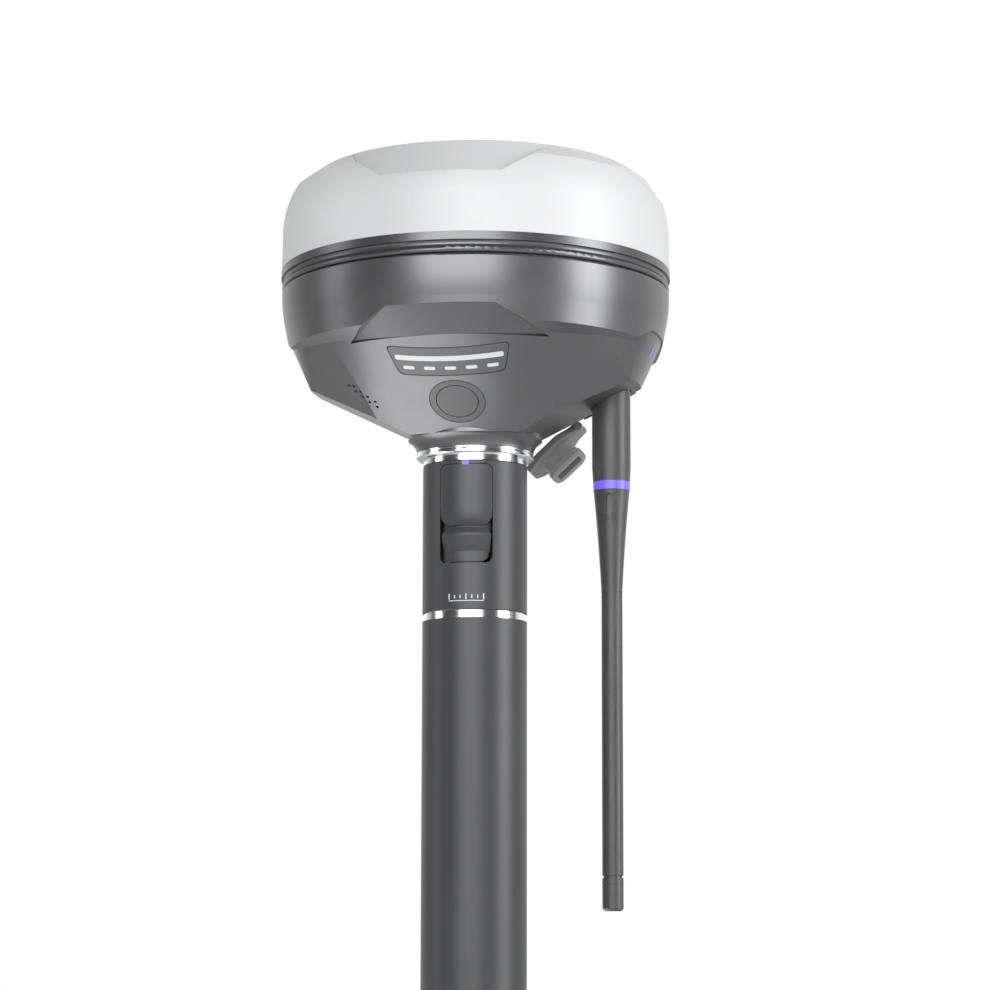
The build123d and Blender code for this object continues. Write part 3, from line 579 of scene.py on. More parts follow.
class Form:
    """A piece that is shaped with mesh operators and then rides on one body."""

    def __init__(self, name: str, body: Body, finish: Finish) -> None:
        """Starts an empty piece.

        Args:
            name: the piece's name.
            body: the body that carries it.
            finish: its finish.
        """
        self.name, self.body, self.finish = name, body, finish
        self.mesh = bmesh.new()

    def outlined(
        self, outline: Iterable[Point], seat: Seat, height: float, edge: float = 0.0
    ) -> None:
        """Raises a closed outline from a seat and rounds its edges.

        Args:
            outline: points in the seat's plane in millimetres.
            seat: where the outline lies.
            height: how far it is raised in millimetres.
            edge: rounding of the rims in millimetres.
        """
        place = seat.matrix()
        corners = [self.mesh.verts.new(place @ Vector((x * MM, y * MM, 0.0))) for x, y in outline]
        base = self.mesh.faces.new(corners)
        raised = bmesh.ops.extrude_face_region(self.mesh, geom=[base])["geom"]
        fresh = [item for item in raised if isinstance(item, bmesh.types.BMVert)]
        lift = place.to_3x3() @ Vector((0.0, 0.0, height * MM))
        bmesh.ops.translate(self.mesh, vec=lift, verts=fresh)
        if edge:
            rims = {rim for vert in fresh for rim in vert.link_edges if rim.other_vert(vert) in fresh}
            bmesh.ops.bevel(
                self.mesh, geom=list(rims), offset=edge * MM, offset_type="OFFSET",
                affect="EDGES", segments=3, profile=0.5, material=-1,
            )

    def box(self, seat: Seat, length: float, width: float, height: float, corner: float,
            place: Point = (0.0, 0.0), edge: float = 0.0) -> None:
        """Raises a rectangle with rounded corners.

        Args:
            seat: where it lies.
            length: size along the seat in millimetres.
            width: size across the seat in millimetres.
            height: how far it is raised in millimetres.
            corner: radius of its corners in millimetres.
            place: its centre on the seat in millimetres.
            edge: rounding of the top rim in millimetres.
        """
        outline = [(x + place[0], y + place[1]) for x, y in rounded(length, width, corner)]
        self.outlined(outline, seat, height, edge)

    def turned(self, profile: Sequence[Point], seat: Seat, steps: int = 64) -> None:
        """Spins a closed profile of (radius, height) points round the seat's axis.

        Args:
            profile: points in millimetres.
            seat: the axis is its z.
            steps: number of steps in the full turn.
        """
        place = seat.matrix()
        points = [self.mesh.verts.new(place @ Vector((r * MM, 0.0, z * MM))) for r, z in profile]
        edges = [self.mesh.edges.new((points[i - 1], points[i])) for i in range(len(points))]
        bmesh.ops.spin(
            self.mesh, geom=points + edges, cent=place.translation, axis=place.to_3x3().col[2],
            angle=2 * pi, steps=steps, use_merge=True,
        )

    def coiled(self, profile: Sequence[Point], seat: Seat, pitch: float, turns: int) -> None:
        """Spins a closed profile along a helix and caps its ends.

        Args:
            profile: points of (radius, height) in millimetres.
            seat: the axis is its z.
            pitch: rise per turn in millimetres.
            turns: number of turns.
        """
        place, steps = seat.matrix(), HELIX_STEPS * turns
        points = [self.mesh.verts.new(place @ Vector((r * MM, 0.0, z * MM))) for r, z in profile]
        start = self.mesh.faces.new(points)
        bmesh.ops.spin(
            self.mesh, geom=[start], cent=place.translation, axis=place.to_3x3().col[2],
            dvec=place.to_3x3().col[2] * (pitch * MM / HELIX_STEPS), angle=2 * pi * turns, steps=steps,
        )

    def ribbon(self, inner: Sequence[Vector], outer: Sequence[Vector], lift: Vector) -> None:
        """Lays a closed thin band between two loops of points.

        Args:
            inner: the inner loop in metres.
            outer: the outer loop in metres.
            lift: the thickness of the band as a vector in metres.
        """
        loops = [
            [self.mesh.verts.new(point + shift) for point in loop]
            for loop, shift in ((inner, lift * 0), (outer, lift * 0), (outer, lift), (inner, lift))
        ]
        count = len(inner)
        for side in range(4):
            near, far = loops[side], loops[(side + 1) % 4]
            for i in range(count):
                j = (i + 1) % count
                self.mesh.faces.new((near[i], near[j], far[j], far[i]))

    def sheet(self, points: Sequence[Sequence[Vector]], lift: Vector) -> None:
        """Lays a thin closed sheet over a grid of points.

        Args:
            points: rows of points in metres.
            lift: the sheet's thickness as a vector in metres.
        """
        low = [[self.mesh.verts.new(point) for point in row] for row in points]
        faces = [
            self.mesh.faces.new((low[i][j], low[i][j + 1], low[i + 1][j + 1], low[i + 1][j]))
            for i in range(len(low) - 1) for j in range(len(low[0]) - 1)
        ]
        raised = bmesh.ops.extrude_face_region(self.mesh, geom=faces, use_keep_orig=True)["geom"]
        fresh = [item for item in raised if isinstance(item, bmesh.types.BMVert)]
        bmesh.ops.translate(self.mesh, vec=lift, verts=fresh)

    def cord(self, path: Sequence[Point], radius: float) -> None:
        """Sweeps a round cord along a smooth path.

        Args:
            path: points in millimetres above the reference plane.
            radius: the cord's radius in millimetres.
        """
        spots = [Vector((x * MM, y * MM, REFERENCE + z * MM)) for x, y, z in smooth(path)]
        rings = []
        for i, spot in enumerate(spots):
            way = (spots[min(i + 1, len(spots) - 1)] - spots[max(i - 1, 0)]).normalized()
            side = way.cross(Vector((0.13, 0.21, 0.97))).normalized()
            lift = side.cross(way)
            turns = [2 * pi * k / CORD_SIDES for k in range(CORD_SIDES)]
            rings.append([
                self.mesh.verts.new(spot + (side * cos(turn) + lift * sin(turn)) * radius * MM)
                for turn in turns
            ])
        for near, far in zip(rings, rings[1:]):
            for k in range(CORD_SIDES):
                following = (k + 1) % CORD_SIDES
                self.mesh.faces.new((near[k], near[following], far[following], far[k]))
        self.mesh.faces.new(rings[0])
        self.mesh.faces.new(rings[-1])

    def done(self, smooth_angle: float = 35.0) -> bpy.types.Object:
        """Closes the piece, gives it its finish and lets it ride on its body.

        Args:
            smooth_angle: edges sharper than this many degrees stay sharp.

        Returns:
            The finished object.
        """
        bmesh.ops.recalc_face_normals(self.mesh, faces=self.mesh.faces)
        for face in self.mesh.faces:
            face.smooth = True
        for edge in self.mesh.edges:
            edge.smooth = edge.is_manifold and edge.calc_face_angle(0.0) < radians(smooth_angle)
        mesh = bpy.data.meshes.new(self.name)
        self.mesh.to_mesh(mesh)
        self.mesh.free()
        mesh.materials.append(self.finish.material())
        piece = bpy.data.objects.new(self.name, mesh)
        bpy.context.scene.collection.objects.link(piece)
        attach(piece, self.body.value)
        log.info("%s: %d faces on %s", self.name, len(mesh.polygons), self.body.value)
        return piece


def rounded(length: float, width: float, corner: float, steps: int = 5) -> list[Point]:
    """A rectangle with rounded corners round the origin.

    Args:
        length: size along x.
        width: size along y.
        corner: radius of the corners.
        steps: points on each corner.

    Returns:
        The outline, counter-clockwise.
    """
    outline = []
    for quarter, (sx, sy) in enumerate(((1, 1), (-1, 1), (-1, -1), (1, -1))):
        for step in range(steps + 1):
            angle = (quarter + step / steps) * pi / 2
            outline.append((
                sx * (length / 2 - corner) + corner * cos(angle),
                sy * (width / 2 - corner) + corner * sin(angle),
            ))
    return outline


def smooth(path: Sequence[Point], steps: int = 8) -> list[Vector]:
    """A smooth curve through every point of a path.

    Args:
        path: the points.
        steps: steps between two of them.

    Returns:
        The finer path.
    """
    spots = [Vector(point) for point in path]
    spots = [spots[0] * 2 - spots[1], *spots, spots[-1] * 2 - spots[-2]]
    curve = []
    for a, b, c, d in zip(spots, spots[1:], spots[2:], spots[3:]):
        for step in range(steps):
            t = step / steps
            curve.append(0.5 * (
                b * 2 + (c - a) * t + (a * 2 - b * 5 + c * 4 - d) * t * t
                + (b * 3 - a - c * 3 + d) * t * t * t
            ))
    return [*curve, spots[-2]]


def round_corners(corners: Sequence[Point], radius: float, steps: int = 6) -> list[Point]:
    """A polygon whose corners are eased by a quadratic curve.

    Args:
        corners: the polygon.
        radius: how far from a corner the curve starts.
        steps: points on each corner.

    Returns:
        The eased outline.
    """
    outline = []
    for i, corner in enumerate(corners):
        spot = Vector(corner)
        before = spot + (Vector(corners[i - 1]) - spot).normalized() * radius
        after = spot + (Vector(corners[(i + 1) % len(corners)]) - spot).normalized() * radius
        for step in range(steps + 1):
            t = step / steps
            outline.append(before * (1 - t) ** 2 + spot * 2 * t * (1 - t) + after * t * t)
    return outline


SLOPE_UP = Vector((0.0, -21.1, 16.3)).normalized()
SLOPE_OUT = Vector((0.0, -16.3, -21.1)).normalized()
SLOPE_CENTRE = Vector((0.0, -28.9 * MM, REFERENCE + 13.4 * MM))
SLOPE_RADIUS = 56.5
PANEL_UP = 15.9


def on_slope(x: float, up: float, lift: float = 0.0) -> Vector:
    """A point on the front slope of the housing.

    Args:
        x: sideways from the middle in millimetres.
        up: up the slope from the power button's centre in millimetres.
        lift: height above the skin in millimetres.

    Returns:
        The point in metres.
    """
    fall = (SLOPE_RADIUS - sqrt(SLOPE_RADIUS**2 - x * x)) * -SLOPE_OUT.y
    return SLOPE_CENTRE + (Vector((x, 0, 0)) + SLOPE_UP * up + SLOPE_OUT * (lift - fall)) * MM


# ---------------------------------------------------------------- sub-assemblies


@dataclass
class PoleSection:
    """The pole tube with its threaded foot."""

    pitch: float = 25.4 / 11
    turns: int = 6

    def build(self) -> None:
        """Dresses the tube and its plugs and adds the ridge of the foot's thread."""
        dress("pole_tube", "pole_bottom_plug", "pole_top_plug")
        thread = Form("foot_thread", Body.POLE, ALUMINIUM)
        ridge = [(6.85, -0.75), (6.45, -0.15), (6.45, 0.15), (6.85, 0.75)]
        thread.coiled(ridge, Seat((0, 0, 1.6), (1, 0, 0), (0, 0, 1)), self.pitch, self.turns)
        thread.done()


@dataclass
class Adapter:
    """The quick-release adapter with its printed marks."""

    radius: float = 16.0
    tick_height: float = 256.2

    def strip(self, name: str, finish: Finish, azimuth: float, width: float, low: float,
              high: float) -> None:
        """Prints a small upright strip on the adapter's round side.

        Args:
            name: the piece's name.
            finish: its finish.
            azimuth: degrees round from the front.
            width: its width in millimetres.
            low: height of its lower end in millimetres.
            high: height of its upper end in millimetres.
        """
        half = width / 2 / self.radius
        rows = []
        for step in range(7):
            turn = radians(azimuth) + half * (step / 3 - 1)
            out = Vector((sin(turn), -cos(turn), 0.0)) * (self.radius - 0.02) * MM
            rows.append([out + Vector((0, 0, z * MM)) for z in (low, (low + high) / 2, high)])
        form = Form(name, Body.POLE, finish)
        facing = Vector((sin(radians(azimuth)), -cos(radians(azimuth)), 0))
        form.sheet(rows, facing * INK_DEPTH * MM)
        form.done()

    def build(self) -> None:
        """Dresses the adapter and prints the alignment mark and the height ticks."""
        dress("adapter_base_ring", "adapter_body", "adapter_spigot", "latch_pin")
        self.strip("align_mark", ACCENT, 0.0, 2.1, 296.4, 297.6)
        for step in range(7):
            tall = 0.9 if step % 3 == 0 else 0.5
            self.strip(f"height_tick_{step}", INK, -18.0 + 6.4 * step, 0.28,
                       self.tick_height - tall, self.tick_height + tall)
        self.strip("height_rule", INK, 1.2, 10.9, self.tick_height - 1.35, self.tick_height - 1.15)


@dataclass
class Latch:
    """The release lever with its leaf spring. The finer plates stand in for the plain lever."""

    radius: float = 16.0

    def plate(self, form: Form, half: float, low: float, high: float, corners: Point,
              curve: Callable[[float], float]) -> None:
        """Lays a plate that follows the adapter's round side.

        Args:
            form: the piece to add it to.
            half: half its width in millimetres.
            low: height of its lower end in millimetres.
            high: height of its upper end in millimetres.
            corners: radius of its lower and upper corners in millimetres.
            curve: the plate's radius at a height, in millimetres.
        """
        rows = []
        for step in range(33):
            x = half * sin((step / 16 - 1) * pi / 2)
            ends = []
            for corner in corners:
                over = max(0.0, abs(x) - half + corner)
                ends.append(corner - sqrt(max(0.0, corner**2 - over**2)))
            turn = asin(x / self.radius)
            row = []
            for k in range(17):
                z = low + ends[0] + (high - ends[1] - low - ends[0]) * k / 16
                row.append(Vector((curve(z) * sin(turn), -curve(z) * cos(turn), z)) * MM)
            rows.append(row)
        form.sheet(rows, Vector((0.0, PLATE_DEPTH, 0.0)) * MM)

    def build(self) -> None:
        """Dresses the lever and its spring and lays the thumb plate, the tab, the foot and the back."""
        dress("latch_lever", "latch_spring")
        form = Form("latch_plates", Body.LATCH, ADAPTER)
        self.plate(form, 7.95, 277.9, 296.6, (3.2, 1.9),
                   lambda z: 14.5 + 1.48 * sqrt(1.0 - (max(0.0, 283.2 - z) / 5.35) ** 2))
        self.plate(form, 7.7, 269.7, 277.5, (0.3, 3.0),
                   lambda z: min(14.6 + (z - 269.7) * 0.23, 15.9 - (z - 275.3) * 0.45))
        self.plate(form, 7.25, 266.9, 270.2, (2.6, 0.1), lambda z: 14.9)
        self.plate(form, 7.95, 271.0, 296.4, (0.3, 1.9), lambda z: 14.35)
        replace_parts(form.done(), "latch_lever")


def pod_end(height: float) -> float:
    """Radius of the pods' sloping outer ends, just outside the skin.

    Args:
        height: height above the reference plane in millimetres.

    Returns:
        The radius in millimetres.
    """
    return POD_END_RADIUS + POD_END_SLOPE * (height - POD_END_LEVEL)


@dataclass
class Housing:
    """The lower housing, ring and radome with their seals, screws and side mark."""

    ring_screws: float = 51.5
    base_screws: float = 14.5

    def build(self) -> None:
        """Dresses the skin and the ground plane and adds gauze, painted shade in the screws' drive
        recesses and the side mark.
        """
        dress("lower_housing", "mid_ring", "housing_seal", "radome_seal", "radome",
              "chassis_screws", "ground_plane")
        self.gauze()
        self.painted_drive_shade()
        self.side_mark()

    def side_mark(self) -> None:
        """Lays the small accent mark on the facet beside the antenna."""
        rows = []
        for step in range(5):
            y = -2.2 + 0.75 * (step - 2) / 2
            rows.append([
                Vector((sqrt(pod_end(z)**2 - y * y) * MM, y * MM, REFERENCE + z * MM))
                for z in (30.2, 31.0, 31.8, 32.6, 33.4)
            ])
        mark = Form("side_mark", Body.RECEIVER, ACCENT)
        mark.sheet(rows, Vector((0.06, 0.0, -0.027)) * MM)
        mark.done()

    def gauze(self) -> None:
        """Stretches a wire gauze behind the sounder's holes."""
        form = Form("sounder_gauze", Body.RECEIVER, STEEL)
        seat = Seat((-28.0, -21.9, REFERENCE / MM + 20.4), (-0.8, -0.22, 0.56), (0.356, 0.571, 0.74))
        for step in range(13):
            form.box(seat, 14.4, 0.22, 0.18, 0.08, (0.0, (step - 6) * 0.5))
            if step % 2:
                form.box(seat, 0.22, 6.6, 0.18, 0.08, ((step - 6) * 1.1, 0.0))
        form.done()

    def painted_drive_shade(self) -> None:
        """Lays a thin black six-lobed sheet on every chassis and base screw, painted shade standing for
        its drive recess.
        """
        # Black six-lobed sheets stand for the drive recesses: painted shade, not a part of its own.
        form = Form("screw_drive_painted_shade", Body.RECEIVER, BLACK)
        for step in range(6):
            turn = radians(60.0 * step)
            seat = level_seat(self.ring_screws * cos(turn), self.ring_screws * sin(turn), 53.0)
            form.outlined(lobes(1.0, 0.22), seat, 0.12)
        for step in range(4):
            turn = radians(45.0 + 90.0 * step)
            seat = level_seat(self.base_screws * cos(turn), self.base_screws * sin(turn), 0.05)
            form.outlined(lobes(1.3, 0.28), seat, 0.06)
        form.done()


def lobes(radius: float, depth: float) -> list[Point]:
    """The outline of a six-lobed screw drive.

    Args:
        radius: its mean radius in millimetres.
        depth: how far the lobes swing in millimetres.

    Returns:
        The outline.
    """
    turns = [2 * pi * step / 48 for step in range(48)]
    return [
        ((radius + depth * cos(6 * turn)) * cos(turn), (radius + depth * cos(6 * turn)) * sin(turn))
        for turn in turns
    ]


@dataclass
class LampPanel:
    """The lamp window with its light bar, lamps and dark joint."""

    top_half: float = 18.7
    low_half: float = 15.9
    length: float = 10.8
    joint: float = 0.22

    def outline(self, grow: float) -> list[Vector]:
        """The window's outline on the slope, grown on every side.

        Args:
            grow: by how much in millimetres.

        Returns:
            Points on the skin in metres.
        """
        low, high = PANEL_UP - self.length / 2 - grow, PANEL_UP + self.length / 2 + grow
        corners = [
            (-self.low_half - grow, low), (self.low_half + grow, low),
            (self.top_half + grow, high), (-self.top_half - grow, high),
        ]
        eased = round_corners(corners, 2.2)
        fine = []
        for i, spot in enumerate(eased):
            following = eased[(i + 1) % len(eased)]
            parts = max(1, int((following - spot).length / 1.2))
            fine += [spot.lerp(following, k / parts) for k in range(parts)]
        return [on_slope(spot.x, spot.y, 0.01) for spot in fine]

    def build(self) -> None:
        """Dresses the window, its lamps and their board, and seals the window's joint."""
        dress("led_window", "light_bar", "led_lenses", "led_board", "led_chips")
        form = Form("window_joint", Body.RECEIVER, SEAL)
        inner, outer = self.outline(-self.joint / 2), self.outline(self.joint)
        form.ribbon(inner, outer, SLOPE_OUT * 0.03 * MM)
        form.done()


@dataclass
class PowerButton:
    """The round key with its surround and its switch."""

    surround: float = 8.4
    switch_depth: float = 5.5

    def loop(self, radius: float) -> list[Vector]:
        """A circle on the skin round the key.

        Args:
            radius: its radius in millimetres.

        Returns:
            Points on the skin in metres.
        """
        turns = [2 * pi * step / 72 for step in range(72)]
        return [on_slope(radius * cos(turn), radius * sin(turn), 0.01) for turn in turns]

    def build(self) -> None:
        """Dresses the key, its surround and its switch, and seals the surround."""
        dress("power_button", "button_surround", "button_switch")
        form = Form("surround_joint", Body.RECEIVER, SEAL)
        form.ribbon(self.loop(self.surround - 0.06), self.loop(self.surround + 0.2),
                    SLOPE_OUT * 0.03 * MM)
        form.done()
        plunger = Form("switch_plunger", Body.RECEIVER, BLACK)
        switch_top = (SLOPE_CENTRE - SLOPE_OUT * self.switch_depth * MM) / MM
        plunger.turned(
            [(0.4, 0), (1.1, 0), (1.1, 0.5), (0.9, 0.7), (0.4, 0.7)],
            Seat(tuple(switch_top), (1, 0, 0), tuple(SLOPE_OUT)), 32,
        )
        plunger.done()


@dataclass
class PortFlap:
    """The data port with its open rubber flap."""

    opening: float = 163.0
    centre: Point = (10.9, 0.0)

    def seat(self, height: float) -> Seat:
        """The open flap's plane.

        Args:
            height: distance from the hinge towards the plug's mouth in millimetres.

        Returns:
            The seat, its x running away from the hinge.
        """
        joints = frame["record"]["behaviour"]["joints"]
        hinge = next(Vector(item["pos_m"]) for item in joints if item["name"] == "flap_close") / MM
        out = Vector(PORT_NORMAL).normalized()
        run = Vector((1.0, 0.0, -out.x / out.z)).normalized()
        way = Vector((out.x, 0.0, out.z))
        way *= 1.0 / way.dot(out)
        turn = Matrix.Rotation(radians(self.opening), 3, "Y")
        place = hinge - (turn @ way) * height
        return Seat(tuple(place), tuple(turn @ run), tuple(-(turn @ out)))

    def build(self) -> None:
        """Dresses the port and shapes the flap, its plug and its knuckles."""
        dress("port_bezel", "usb_socket", "port_flap")
        rubber = Form("flap_rubber", Body.FLAP, RUBBER)
        plate = round_corners(
            [(-0.9, 2.7), (-0.9, -2.7), (3.0, -3.3), (7.0, -5.6), (16.6, -5.6), (20.9, -3.4),
             (20.9, 3.4), (16.6, 5.6), (7.0, 5.6), (3.0, 3.3)], 1.2, 4)
        rubber.outlined([tuple(spot) for spot in plate], self.seat(-1.1), 2.1, 0.35)
        for low, long, wide, tall, edge in (
            (0.9, 13.6, 8.6, 0.5, 0.2), (4.5, 12.8, 8.0, 0.75, 0.3), (5.45, 12.9, 8.1, 1.2, 0.4),
        ):
            rubber.box(self.seat(low), long, wide, tall, min(wide / 2 - 0.1, 3.6), self.centre, edge)
        # The near-black sheet on the plug is painted shade standing for the plug's open mouth.
        mouth = Form("flap_mouth_painted_shade", Body.FLAP, SEAL)
        mouth.box(self.seat(6.3), 9.2, 3.4, 0.42, 0.5, self.centre, 0.05)
        mouth.done()
        rubber.done()
        self.strap()

    def strap(self) -> None:
        """Moulds the two knuckles at the ends of the flap's hinge line."""
        hinge = self.seat(0.0).matrix().translation / MM
        root = Form("flap_strap", Body.RECEIVER, RUBBER)
        ring = [(1.25 * cos(t * pi / 16), 1.25 * sin(t * pi / 16)) for t in range(32)]
        for start in (-4.6, 3.1):
            foot = Seat(tuple(hinge + Vector((0, start, 0))), (1, 0, 0), (0, 1, 0))
            root.outlined(ring, foot, 1.5, 0.2)
        root.done()


@dataclass
class CardDoor:
    """The card slot with its closed rubber door."""

    def build(self) -> None:
        """Dresses the door, its tray and the sounder."""
        dress("sim_door", "sim_tray", "buzzer")


@dataclass
class BaseRing:
    """The polished ring under the receiver."""

    mark_radius: float = 17.62

    def build(self) -> None:
        """Dresses the ring, its screws and its insert, and sets the alignment mark."""
        dress("base_ring", "base_screws", "thread_insert")
        mark = Form("ring_mark", Body.RECEIVER, ACCENT)
        rows = []
        for step in range(5):
            turn = 0.045 * (step / 2 - 1)
            out = Vector((sin(turn), -cos(turn), 0.0)) * self.mark_radius * MM
            rows.append([out + Vector((0, 0, REFERENCE + z * MM)) for z in (1.1, 1.25, 1.4)])
        mark.sheet(rows, Vector((0, -0.06 * MM, 0)))
        mark.done()


@dataclass
class WhipAntenna:
    """The whip antenna on its jack."""

    axis: Point = ANTENNA_AXIS

    def build(self) -> None:
        """Dresses the antenna and moulds its parting rings."""
        dress("antenna_jack", "antenna_sleeve", "accent_ring", "antenna_boot", "antenna_whip",
              "antenna_tip", "antenna_core")
        rings = Form("sleeve_rings", Body.ANTENNA, ANTENNA)
        for height, radius in ((-11.0, 5.32), (-41.0, 3.2), (-129.0, 3.2)):
            seat = level_seat(self.axis[0], self.axis[1], height)
            rings.turned([(radius - 0.2, -0.3), (radius + 0.02, -0.3), (radius + 0.07, 0.0),
                          (radius + 0.02, 0.3), (radius - 0.2, 0.3)], seat, 72)
        rings.done()


@dataclass
class Electronics:
    """Boards, battery and radio parts inside the receiver."""

    seed: int = 7
    small_parts: int = 70
    board_top: float = BOARD_TOP

    def chips(self) -> None:
        """Solders small parts onto the free area of the main board."""
        draw = Random(self.seed)
        dark = Form("board_chips", Body.RECEIVER, BLACK)
        pale = Form("board_capacitors", Body.RECEIVER, CERAMIC)
        taken = [(x, y, long / 2 + 2, wide / 2 + 2) for x, y, long, wide in SCREEN_CANS]
        taken.append((-20, -16, 11, 10))
        placed = 0
        while placed < self.small_parts:
            x, y = draw.uniform(-42, 42), draw.uniform(-42, 42)
            if hypot(x, y) > 43 or hypot(abs(x) - 29.7, abs(y) - 29.7) < 4.5:
                continue
            if any(abs(x - cx) < hx + 2 and abs(y - cy) < hy + 2 for cx, cy, hx, hy in taken):
                continue
            large = placed % 5 == 0
            size = draw.uniform(2.2, 4.2) if large else draw.uniform(0.7, 1.3)
            taken.append((x, y, size / 2 + 0.6, size / 2 + 0.6))
            form = dark if large else pale
            form.box(level_seat(x, y, self.board_top), size, size * draw.uniform(0.55, 1.0),
                     0.9 if large else 0.5, 0.12, edge=0.08)
            placed += 1
        dark.done()
        pale.done()

    def cables(self) -> None:
        """Runs the coaxial leads of the jack and the radio module and lays the battery straps."""
        lead = Form("coax_leads", Body.RECEIVER, BLACK)
        lead.cord([(41.9, 3.0, 30.2), (41.5, 3.0, 33.5), (38.0, 2.0, 38.5), (33.0, 0.5, 40.5),
                   (26.0, 0.0, 41.6)], 0.55)
        lead.cord([(-26.0, -16.0, 47.4), (-30.0, -12.0, 49.5), (-27.0, -2.0, 52.5),
                   (-22.5, 0.0, 55.0)], 0.55)
        lead.done()
        straps = Form("battery_straps", Body.RECEIVER, RUBBER)
        for x in (-20.0, 20.0):
            straps.box(level_seat(x, 0, 42.3), 5.0, 36.0, 0.15, 0.5)
        straps.done()

    def shields(self) -> None:
        """Folds a rim round the foot of every screening can."""
        rims = Form("can_rims", Body.RECEIVER, CAN)
        for x, y, long, wide in SCREEN_CANS:
            for side in (-1, 1):
                rims.box(level_seat(x, y, self.board_top), long + 0.7, 0.3, 0.9, 0.1,
                         (0.0, side * (wide / 2 + 0.2)))
                rims.box(level_seat(x, y, self.board_top), 0.3, wide + 0.3, 0.9, 0.1,
                         (side * (long / 2 + 0.2), 0.0))
        rims.done()

    def build(self) -> None:
        """Dresses the boards and the battery and adds their small parts."""
        dress("antenna_board", "lower_patch", "upper_patch", "amplifier_shield", "main_board",
              "board_screws", "shield_cans", "radio_module", "battery_cells", "battery_tray")
        self.chips()
        self.cables()
        self.shields()
        pins = Form("patch_feed_pins", Body.RECEIVER, BRASS)
        for x, y in ((6.0, 0.0), (-6.0, 0.0), (0.0, 6.0), (0.0, -6.0)):
            pins.turned([(0.1, 0), (0.7, 0), (0.7, 0.25), (0.45, 0.45), (0.1, 0.45)],
                        level_seat(x, y, PATCH_TOP), 24)
        pins.done()


# ---------------------------------------------------------------- studio


@dataclass
class Softbox:
    """A rectangular light that faces the receiver."""

    name: str
    azimuth: float
    elevation: float
    distance: float
    width: float
    height: float
    power: float
    target: Point = (0.0, 0.0, 0.32)

    def build(self) -> bpy.types.Object:
        """Makes the light and turns it to its target.

        Returns:
            The light's object.
        """
        light = bpy.data.lights.new(self.name, "AREA")
        light.shape = "RECTANGLE"
        light.size, light.size_y = self.width, self.height
        light.energy = self.power
        around, up = radians(self.azimuth), radians(self.elevation)
        away = Vector((sin(around) * cos(up), -cos(around) * cos(up), sin(up)))
        lamp = bpy.data.objects.new(self.name, light)
        lamp.location = Vector(self.target) + away * self.distance
        lamp.rotation_euler = away.to_track_quat("Z", "Y").to_euler()
        lamp.visible_camera = False
        bpy.context.scene.collection.objects.link(lamp)
        return lamp


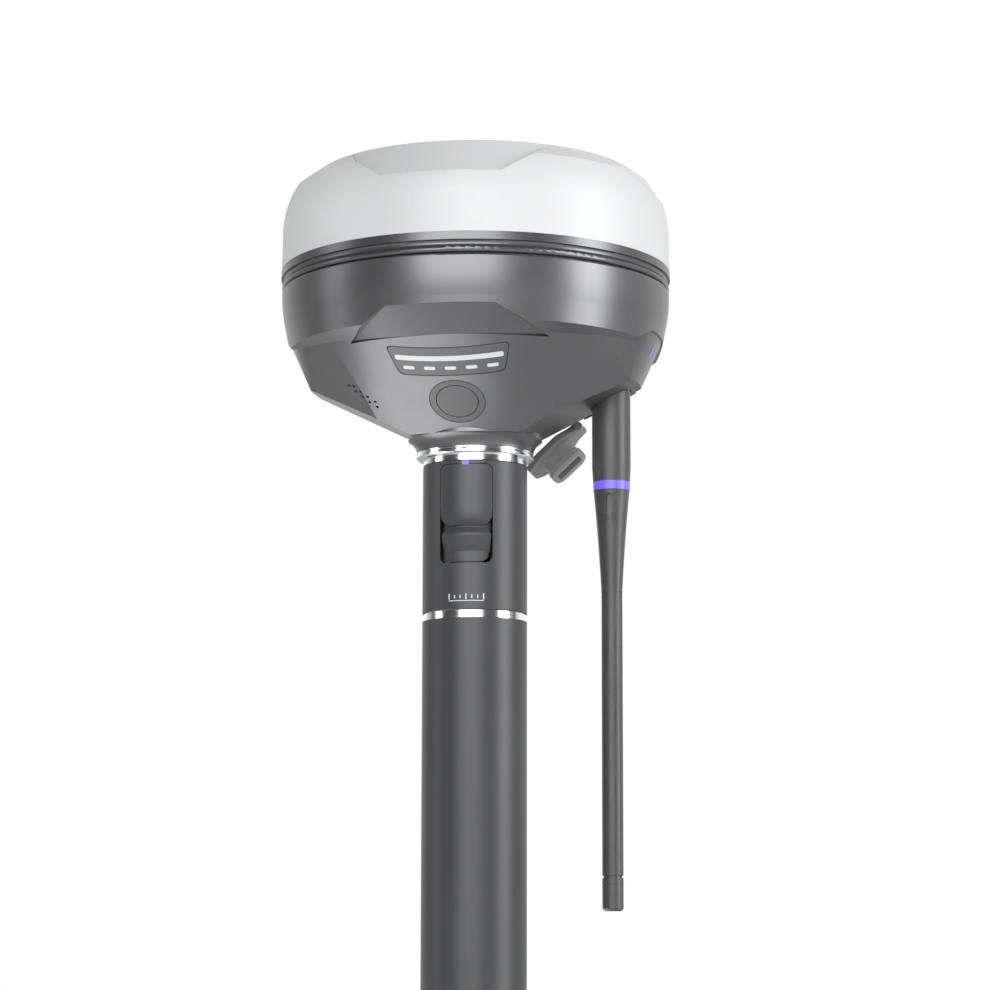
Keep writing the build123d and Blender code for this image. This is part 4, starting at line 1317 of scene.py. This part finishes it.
@dataclass
class Studio:
    """Camera, floor, background and lights."""

    lens: float = 115.26
    camera_place: Point = (0.1813, -0.9453, 0.1415)
    heading: float = 10.493
    tilt: float = 8.738
    roll: float = 0.1143
    floor_half: float = 2.5
    softboxes: list[Softbox] = field(
        default_factory=lambda: [
            Softbox("front_box", 1.0, 14.0, 1.6, 1.45, 1.1, 26.5),
            Softbox("right_box", 80.0, 12.0, 1.5, 0.62, 1.2, 19.0),
            Softbox("left_box", -78.0, 12.0, 1.5, 0.50, 1.0, 3.5),
            Softbox("low_box", 0.0, -90.0, 0.31, 0.30, 0.24, 0.8, (-0.13, 0.07, 0.32)),
        ]
    )

    def camera(self) -> None:
        """Places the camera at the viewing angle."""
        optics = bpy.data.cameras.new("camera")
        optics.lens = self.lens
        optics.clip_start, optics.clip_end = 0.01, 50.0
        camera = bpy.data.objects.new("camera", optics)
        turn = (
            Matrix.Rotation(radians(self.heading), 4, "Z")
            @ Matrix.Rotation(radians(90.0 + self.tilt), 4, "X")
            @ Matrix.Rotation(radians(self.roll), 4, "Z")
        )
        camera.matrix_world = Matrix.Translation(self.camera_place) @ turn
        bpy.context.scene.collection.objects.link(camera)
        bpy.context.scene.camera = camera

    def backdrop(self) -> None:
        """White behind the receiver and darker in front of it, for clean edges on metal."""
        scene = bpy.context.scene
        scene.view_settings.view_transform = "Standard"
        world = bpy.data.worlds.new("studio")
        world.use_nodes = True
        scene.world = world
        tree = world.node_tree
        tree.nodes.clear()
        output = tree.nodes.new("ShaderNodeOutputWorld")
        blend = tree.nodes.new("ShaderNodeMixShader")
        path = tree.nodes.new("ShaderNodeLightPath")
        plain = tree.nodes.new("ShaderNodeBackground")
        plain.inputs["Color"].default_value = (1.0, 1.0, 1.0, 1.0)
        graded = tree.nodes.new("ShaderNodeBackground")
        place = tree.nodes.new("ShaderNodeTexCoord")
        split = tree.nodes.new("ShaderNodeSeparateXYZ")
        ramp = tree.nodes.new("ShaderNodeValToRGB")
        shift = tree.nodes.new("ShaderNodeMapRange")
        shift.inputs["From Min"].default_value = -1.0
        stops = ramp.color_ramp.elements
        stops[0].position, stops[0].color = 0.55, (0.05, 0.05, 0.052, 1.0)
        stops[1].position, stops[1].color = 0.86, (1.0, 1.0, 1.0, 1.0)
        for source, target in (
            (place.outputs["Generated"], split.inputs["Vector"]),
            (split.outputs["Y"], shift.inputs["Value"]),
            (shift.outputs["Result"], ramp.inputs["Fac"]),
            (ramp.outputs["Color"], graded.inputs["Color"]),
            (path.outputs["Is Camera Ray"], blend.inputs["Fac"]),
            (graded.outputs["Background"], blend.inputs[1]),
            (plain.outputs["Background"], blend.inputs[2]),
            (blend.outputs["Shader"], output.inputs["Surface"]),
        ):
            tree.links.new(source, target)

    def floor(self) -> None:
        """Lays the pale floor that the pole stands on."""
        form = bmesh.new()
        bmesh.ops.create_grid(form, x_segments=4, y_segments=4, size=self.floor_half)
        mesh = bpy.data.meshes.new("floor")
        form.to_mesh(mesh)
        form.free()
        floor = bpy.data.objects.new("floor", mesh)
        bpy.context.scene.collection.objects.link(floor)
        mesh.materials.append(Moulding("floor", (0.78, 0.78, 0.78), roughness=0.8).material())

    def build(self) -> None:
        """Builds the whole studio."""
        self.camera()
        self.backdrop()
        self.floor()
        for softbox in self.softboxes:
            softbox.build()
        log.info("studio: camera, floor and %d softboxes", len(self.softboxes))


def main() -> None:
    """Builds the studio and every sub-assembly in order."""
    logging.basicConfig(level=logging.INFO, format="%(name)s: %(message)s")
    Studio().build()
    assemblies = (
        PoleSection(), Adapter(), Latch(), Housing(), LampPanel(), PowerButton(), PortFlap(),
        CardDoor(), BaseRing(), WhipAntenna(), Electronics(),
    )
    for assembly in assemblies:
        assembly.build()
        log.info("%s built", type(assembly).__name__)


if __name__ == "__main__":
    main()
